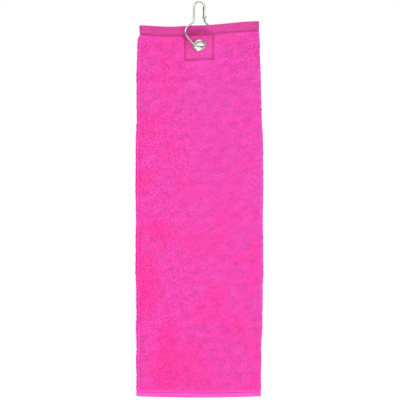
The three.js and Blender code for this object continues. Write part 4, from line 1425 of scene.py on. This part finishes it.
class GOLFTOWEL_OT_stitches(Operator):
    """Make every row of stitches"""

    bl_idname = "golf_towel.stitches"
    bl_label = "Stitches"

    def execute(self, context):
        scene = context.scene
        d = Drape(scene)
        e, towel = scene.golf_eyelet, scene.golf_towel
        material = thread_finish("Sewing thread", towel.thread_colour)

        def on_front(drape, s, depth):
            return drape.half_pile * 0.96 - 0.00030 + 0 * s

        def on_side(drape, s, depth):
            return drape.half_pile * 0.80 - 0.00026 + 0 * s

        def on_patch(drape, s, depth):
            return patch_face(drape, s - drape.front_edge, depth)

        def turned_over(level):
            return lambda drape, s, depth: -level(drape, s, depth)

        top, foot = towel.top_hem - SEAM_INSET, d.length - towel.bottom_hem + SEAM_INSET
        first, last = SEAM_INSET, d.panel
        edge = towel.side_hem - SEAM_INSET
        down = (d.terry_top + SEAM_INSET, d.terry_foot - SEAM_INSET)
        half = e.patch_width / 2 - SEAM_INSET
        a, b = d.front_edge - half, d.front_edge + half
        sole = e.patch_depth - SEAM_INSET
        box = [(a, down[0]), (a, sole), (b, sole), (b, down[0])]
        end = d.route_end
        rows = [
            ("top_hem_thread_front", [(first, top), (last, top)], on_front, 1),
            ("top_hem_thread_back", [(end - last, top), (end - first, top)], turned_over(on_front), -1),
            ("bottom_hem_thread_front", [(first, foot), (last, foot)], on_front, 1),
            ("bottom_hem_thread_back", [(end - last, foot), (end - first, foot)], turned_over(on_front), -1),
            ("front_side_thread", [(edge, down[0]), (edge, down[1])], on_side, 1),
            ("back_side_thread", [(end - edge, down[0]), (end - edge, down[1])], turned_over(on_side), -1),
            ("patch_thread", box, on_patch, 1),
        ]
        for seed, (node, corners, level, side) in enumerate(rows):
            piece = build_stitches(node + "_stitches", scene, corners, level, side, 70 + seed)
            dressed(piece, material, "sewing_thread", "towel", node)
        return {"FINISHED"}


class GOLFTOWEL_OT_eyelet(Operator):
    """Make the eyelet and its washer"""

    bl_idname = "golf_towel.eyelet"
    bl_label = "Eyelet"

    def execute(self, context):
        nickel = plated_finish("Eyelet nickel", context.scene.golf_eyelet.metal_colour, 0.05, 0.10)
        dressed(build_eyelet(context.scene), nickel, "nickel_plate", "towel", "eyelet")
        dressed(build_washer(context.scene), nickel, "nickel_plate", "towel", "eyelet_washer")
        return {"FINISHED"}


class GOLFTOWEL_OT_hook(Operator):
    """Make the bent wire"""

    bl_idname = "golf_towel.hook"
    bl_label = "Hook Wire"

    def execute(self, context):
        nickel = plated_finish("Wire nickel", context.scene.golf_eyelet.metal_colour, 0.06, 0.09)
        dressed(build_wire(context.scene), nickel, "nickel_plate", "hook", "hook_wire")
        return {"FINISHED"}


class GOLFTOWEL_OT_gate(Operator):
    """Make the gate with its rivet and leaf spring"""

    bl_idname = "golf_towel.gate"
    bl_label = "Spring Gate"

    def execute(self, context):
        scene = context.scene
        steel = plated_finish("Pressed steel", scene.golf_hook.gate_colour, 0.12, 0.16)
        dressed(build_gate(scene), steel, "gate_steel", "gate", "gate")
        dressed(build_rivet(scene), steel, "gate_steel", "hook", "gate_rivet")
        dressed(build_spring(scene), steel, "gate_steel", "gate", "gate_spring")
        return {"FINISHED"}


class GOLFTOWEL_OT_declare(Operator):
    """Gather the pile, band and side-edge pieces, and do nothing more with them."""

    bl_idname = "golf_towel.declare"
    bl_label = "Flat Sizes"

    def execute(self, context):
        d = Drape(context.scene)
        objects = bpy.data.objects
        with_sheet = [o for o in objects if o.name.startswith("pile_")]
        edges = ("top_hem_band", "bottom_hem_band", "front_side_edge", "back_side_edge")
        with_sheet += [objects[name] for name in edges]
        return {"FINISHED"}


# ---- Stage ------------------------------------------------------------------------
def aimed(thing, target):
    """Turns a camera or light so that it looks at a point."""
    thing.rotation_euler = (Vector(target) - thing.location).to_track_quat("-Z", "Y").to_euler()


def soft_light(name, place, target, width, height, power, tint):
    """An area light that looks at a target and that the camera doesn't see."""
    data = bpy.data.lights.new(name, "AREA")
    data.shape, data.size, data.size_y = "RECTANGLE", width, height
    data.energy, data.color = power, tint
    light = bpy.data.objects.new(name, data)
    light.location = place
    light.visible_camera = False
    bpy.context.scene.collection.objects.link(light)
    aimed(light, target)


class GOLFTOWEL_OT_stage(Operator):
    """Make the pale floor, the soft lights and the camera"""

    bl_idname = "golf_towel.stage"
    bl_label = "Stage"

    def execute(self, context):
        scene = context.scene
        stage = scene.golf_stage
        middle = (stage.centre_x, 0.0, stage.centre_z)
        low = CAD_BOX[0].z - stage.floor_gap
        t = np.linspace(0, 2 * np.pi, 97)[:-1]
        r = np.array([0.0001, 0.3, 0.7, 1.1, 1.5])[:, None]
        points = np.stack([r * np.cos(t), r * np.sin(t), low + 0 * r * t], -1)
        at = np.arange(points.shape[0] * 96).reshape(-1, 96)
        after = np.roll(at, -1, 1)
        cells = np.stack([at[:-1], at[1:], after[1:], after[:-1]], -1).reshape(-1, 4)
        floor = make_object("stage_floor", points.reshape(-1, 3), [cells])
        material, g = new_material("Stage floor")
        mottle = g.noise(g.place(), 6.0, 2.0, 0.5)
        shade = g.mix(mottle, rgba(stage.floor_colour, 0.99), rgba(stage.floor_colour, 1.0))
        g.finish({"Base Color": shade, "Roughness": 0.85})
        floor.data.materials.append(material)

        soft_light("key", (-0.9, -2.2, 0.9), middle, 1.6, 1.6, 54.0, (1.0, 0.99, 0.97))
        soft_light("fill", (1.6, -1.9, 0.1), middle, 1.4, 1.8, 25.0, (0.97, 0.98, 1.0))
        soft_light("back", (0.2, 2.2, 0.8), middle, 2.0, 1.4, 22.0, (1.0, 1.0, 1.0))

        world = bpy.data.worlds.new("Studio")
        scene.world = world
        g = Graph(world)
        way = g.node("TexCoord", {}, {}).output("Generated")
        _, _, up = g.parts(way)
        room = g.mix(up.rise(0.0, 0.85), (0.10, 0.11, 0.105, 1.0), (1.24, 1.24, 1.27, 1.0))
        seen = g.node("LightPath", {}, {})
        sky = g.mix(seen, room, (1.0, 1.0, 1.0, 1.0))
        g.node("OutputWorld", {}, {"Surface": g.node("Background", {}, {"Color": sky, "Strength": 1.0})})

        camera = bpy.data.objects.new("camera", bpy.data.cameras.new("camera"))
        scene.collection.objects.link(camera)
        camera.data.sensor_width = 36.0
        camera.data.lens = camera.data.sensor_width * stage.distance / stage.field
        camera.location = (middle[0], -stage.distance, middle[2])
        aimed(camera, middle)
        camera.data.clip_end = 50.0
        scene.camera = camera
        scene.view_settings.view_transform = "Standard"
        return {"FINISHED"}


OPERATORS = (
    GOLFTOWEL_OT_sheet,
    GOLFTOWEL_OT_pile,
    GOLFTOWEL_OT_hems,
    GOLFTOWEL_OT_patch,
    GOLFTOWEL_OT_stitches,
    GOLFTOWEL_OT_eyelet,
    GOLFTOWEL_OT_hook,
    GOLFTOWEL_OT_gate,
    GOLFTOWEL_OT_declare,
    GOLFTOWEL_OT_stage,
)


class GOLFTOWEL_PT_panel(Panel):
    """Sizes, colours and makers of the golf towel"""

    bl_idname = "GOLFTOWEL_PT_panel"
    bl_label = "Golf Towel"
    bl_space_type = "VIEW_3D"
    bl_region_type = "UI"
    bl_category = "Golf Towel"

    def draw(self, context):
        for name, settings in SETTINGS.items():
            box = self.layout.box()
            for key in settings.__annotations__:
                box.prop(getattr(context.scene, name), key)
        for operator in OPERATORS:
            self.layout.operator(operator.bl_idname)


def register():
    """Adds the settings, the operators and the panel."""
    for group in SETTINGS.values():
        bpy.utils.register_class(group)
    for name, group in SETTINGS.items():
        setattr(bpy.types.Scene, name, PointerProperty(type=group))
    for operator in OPERATORS:
        bpy.utils.register_class(operator)
    bpy.utils.register_class(GOLFTOWEL_PT_panel)


def unregister():
    """Takes them away again, in reverse."""
    bpy.utils.unregister_class(GOLFTOWEL_PT_panel)
    for operator in reversed(OPERATORS):
        bpy.utils.unregister_class(operator)
    for name, group in SETTINGS.items():
        delattr(bpy.types.Scene, name)
        bpy.utils.unregister_class(group)


def main():
    register()
    for operator in OPERATORS:
        group, name = operator.bl_idname.split(".")
        getattr(getattr(bpy.ops, group), name)()


if __name__ == "__main__":
    main()
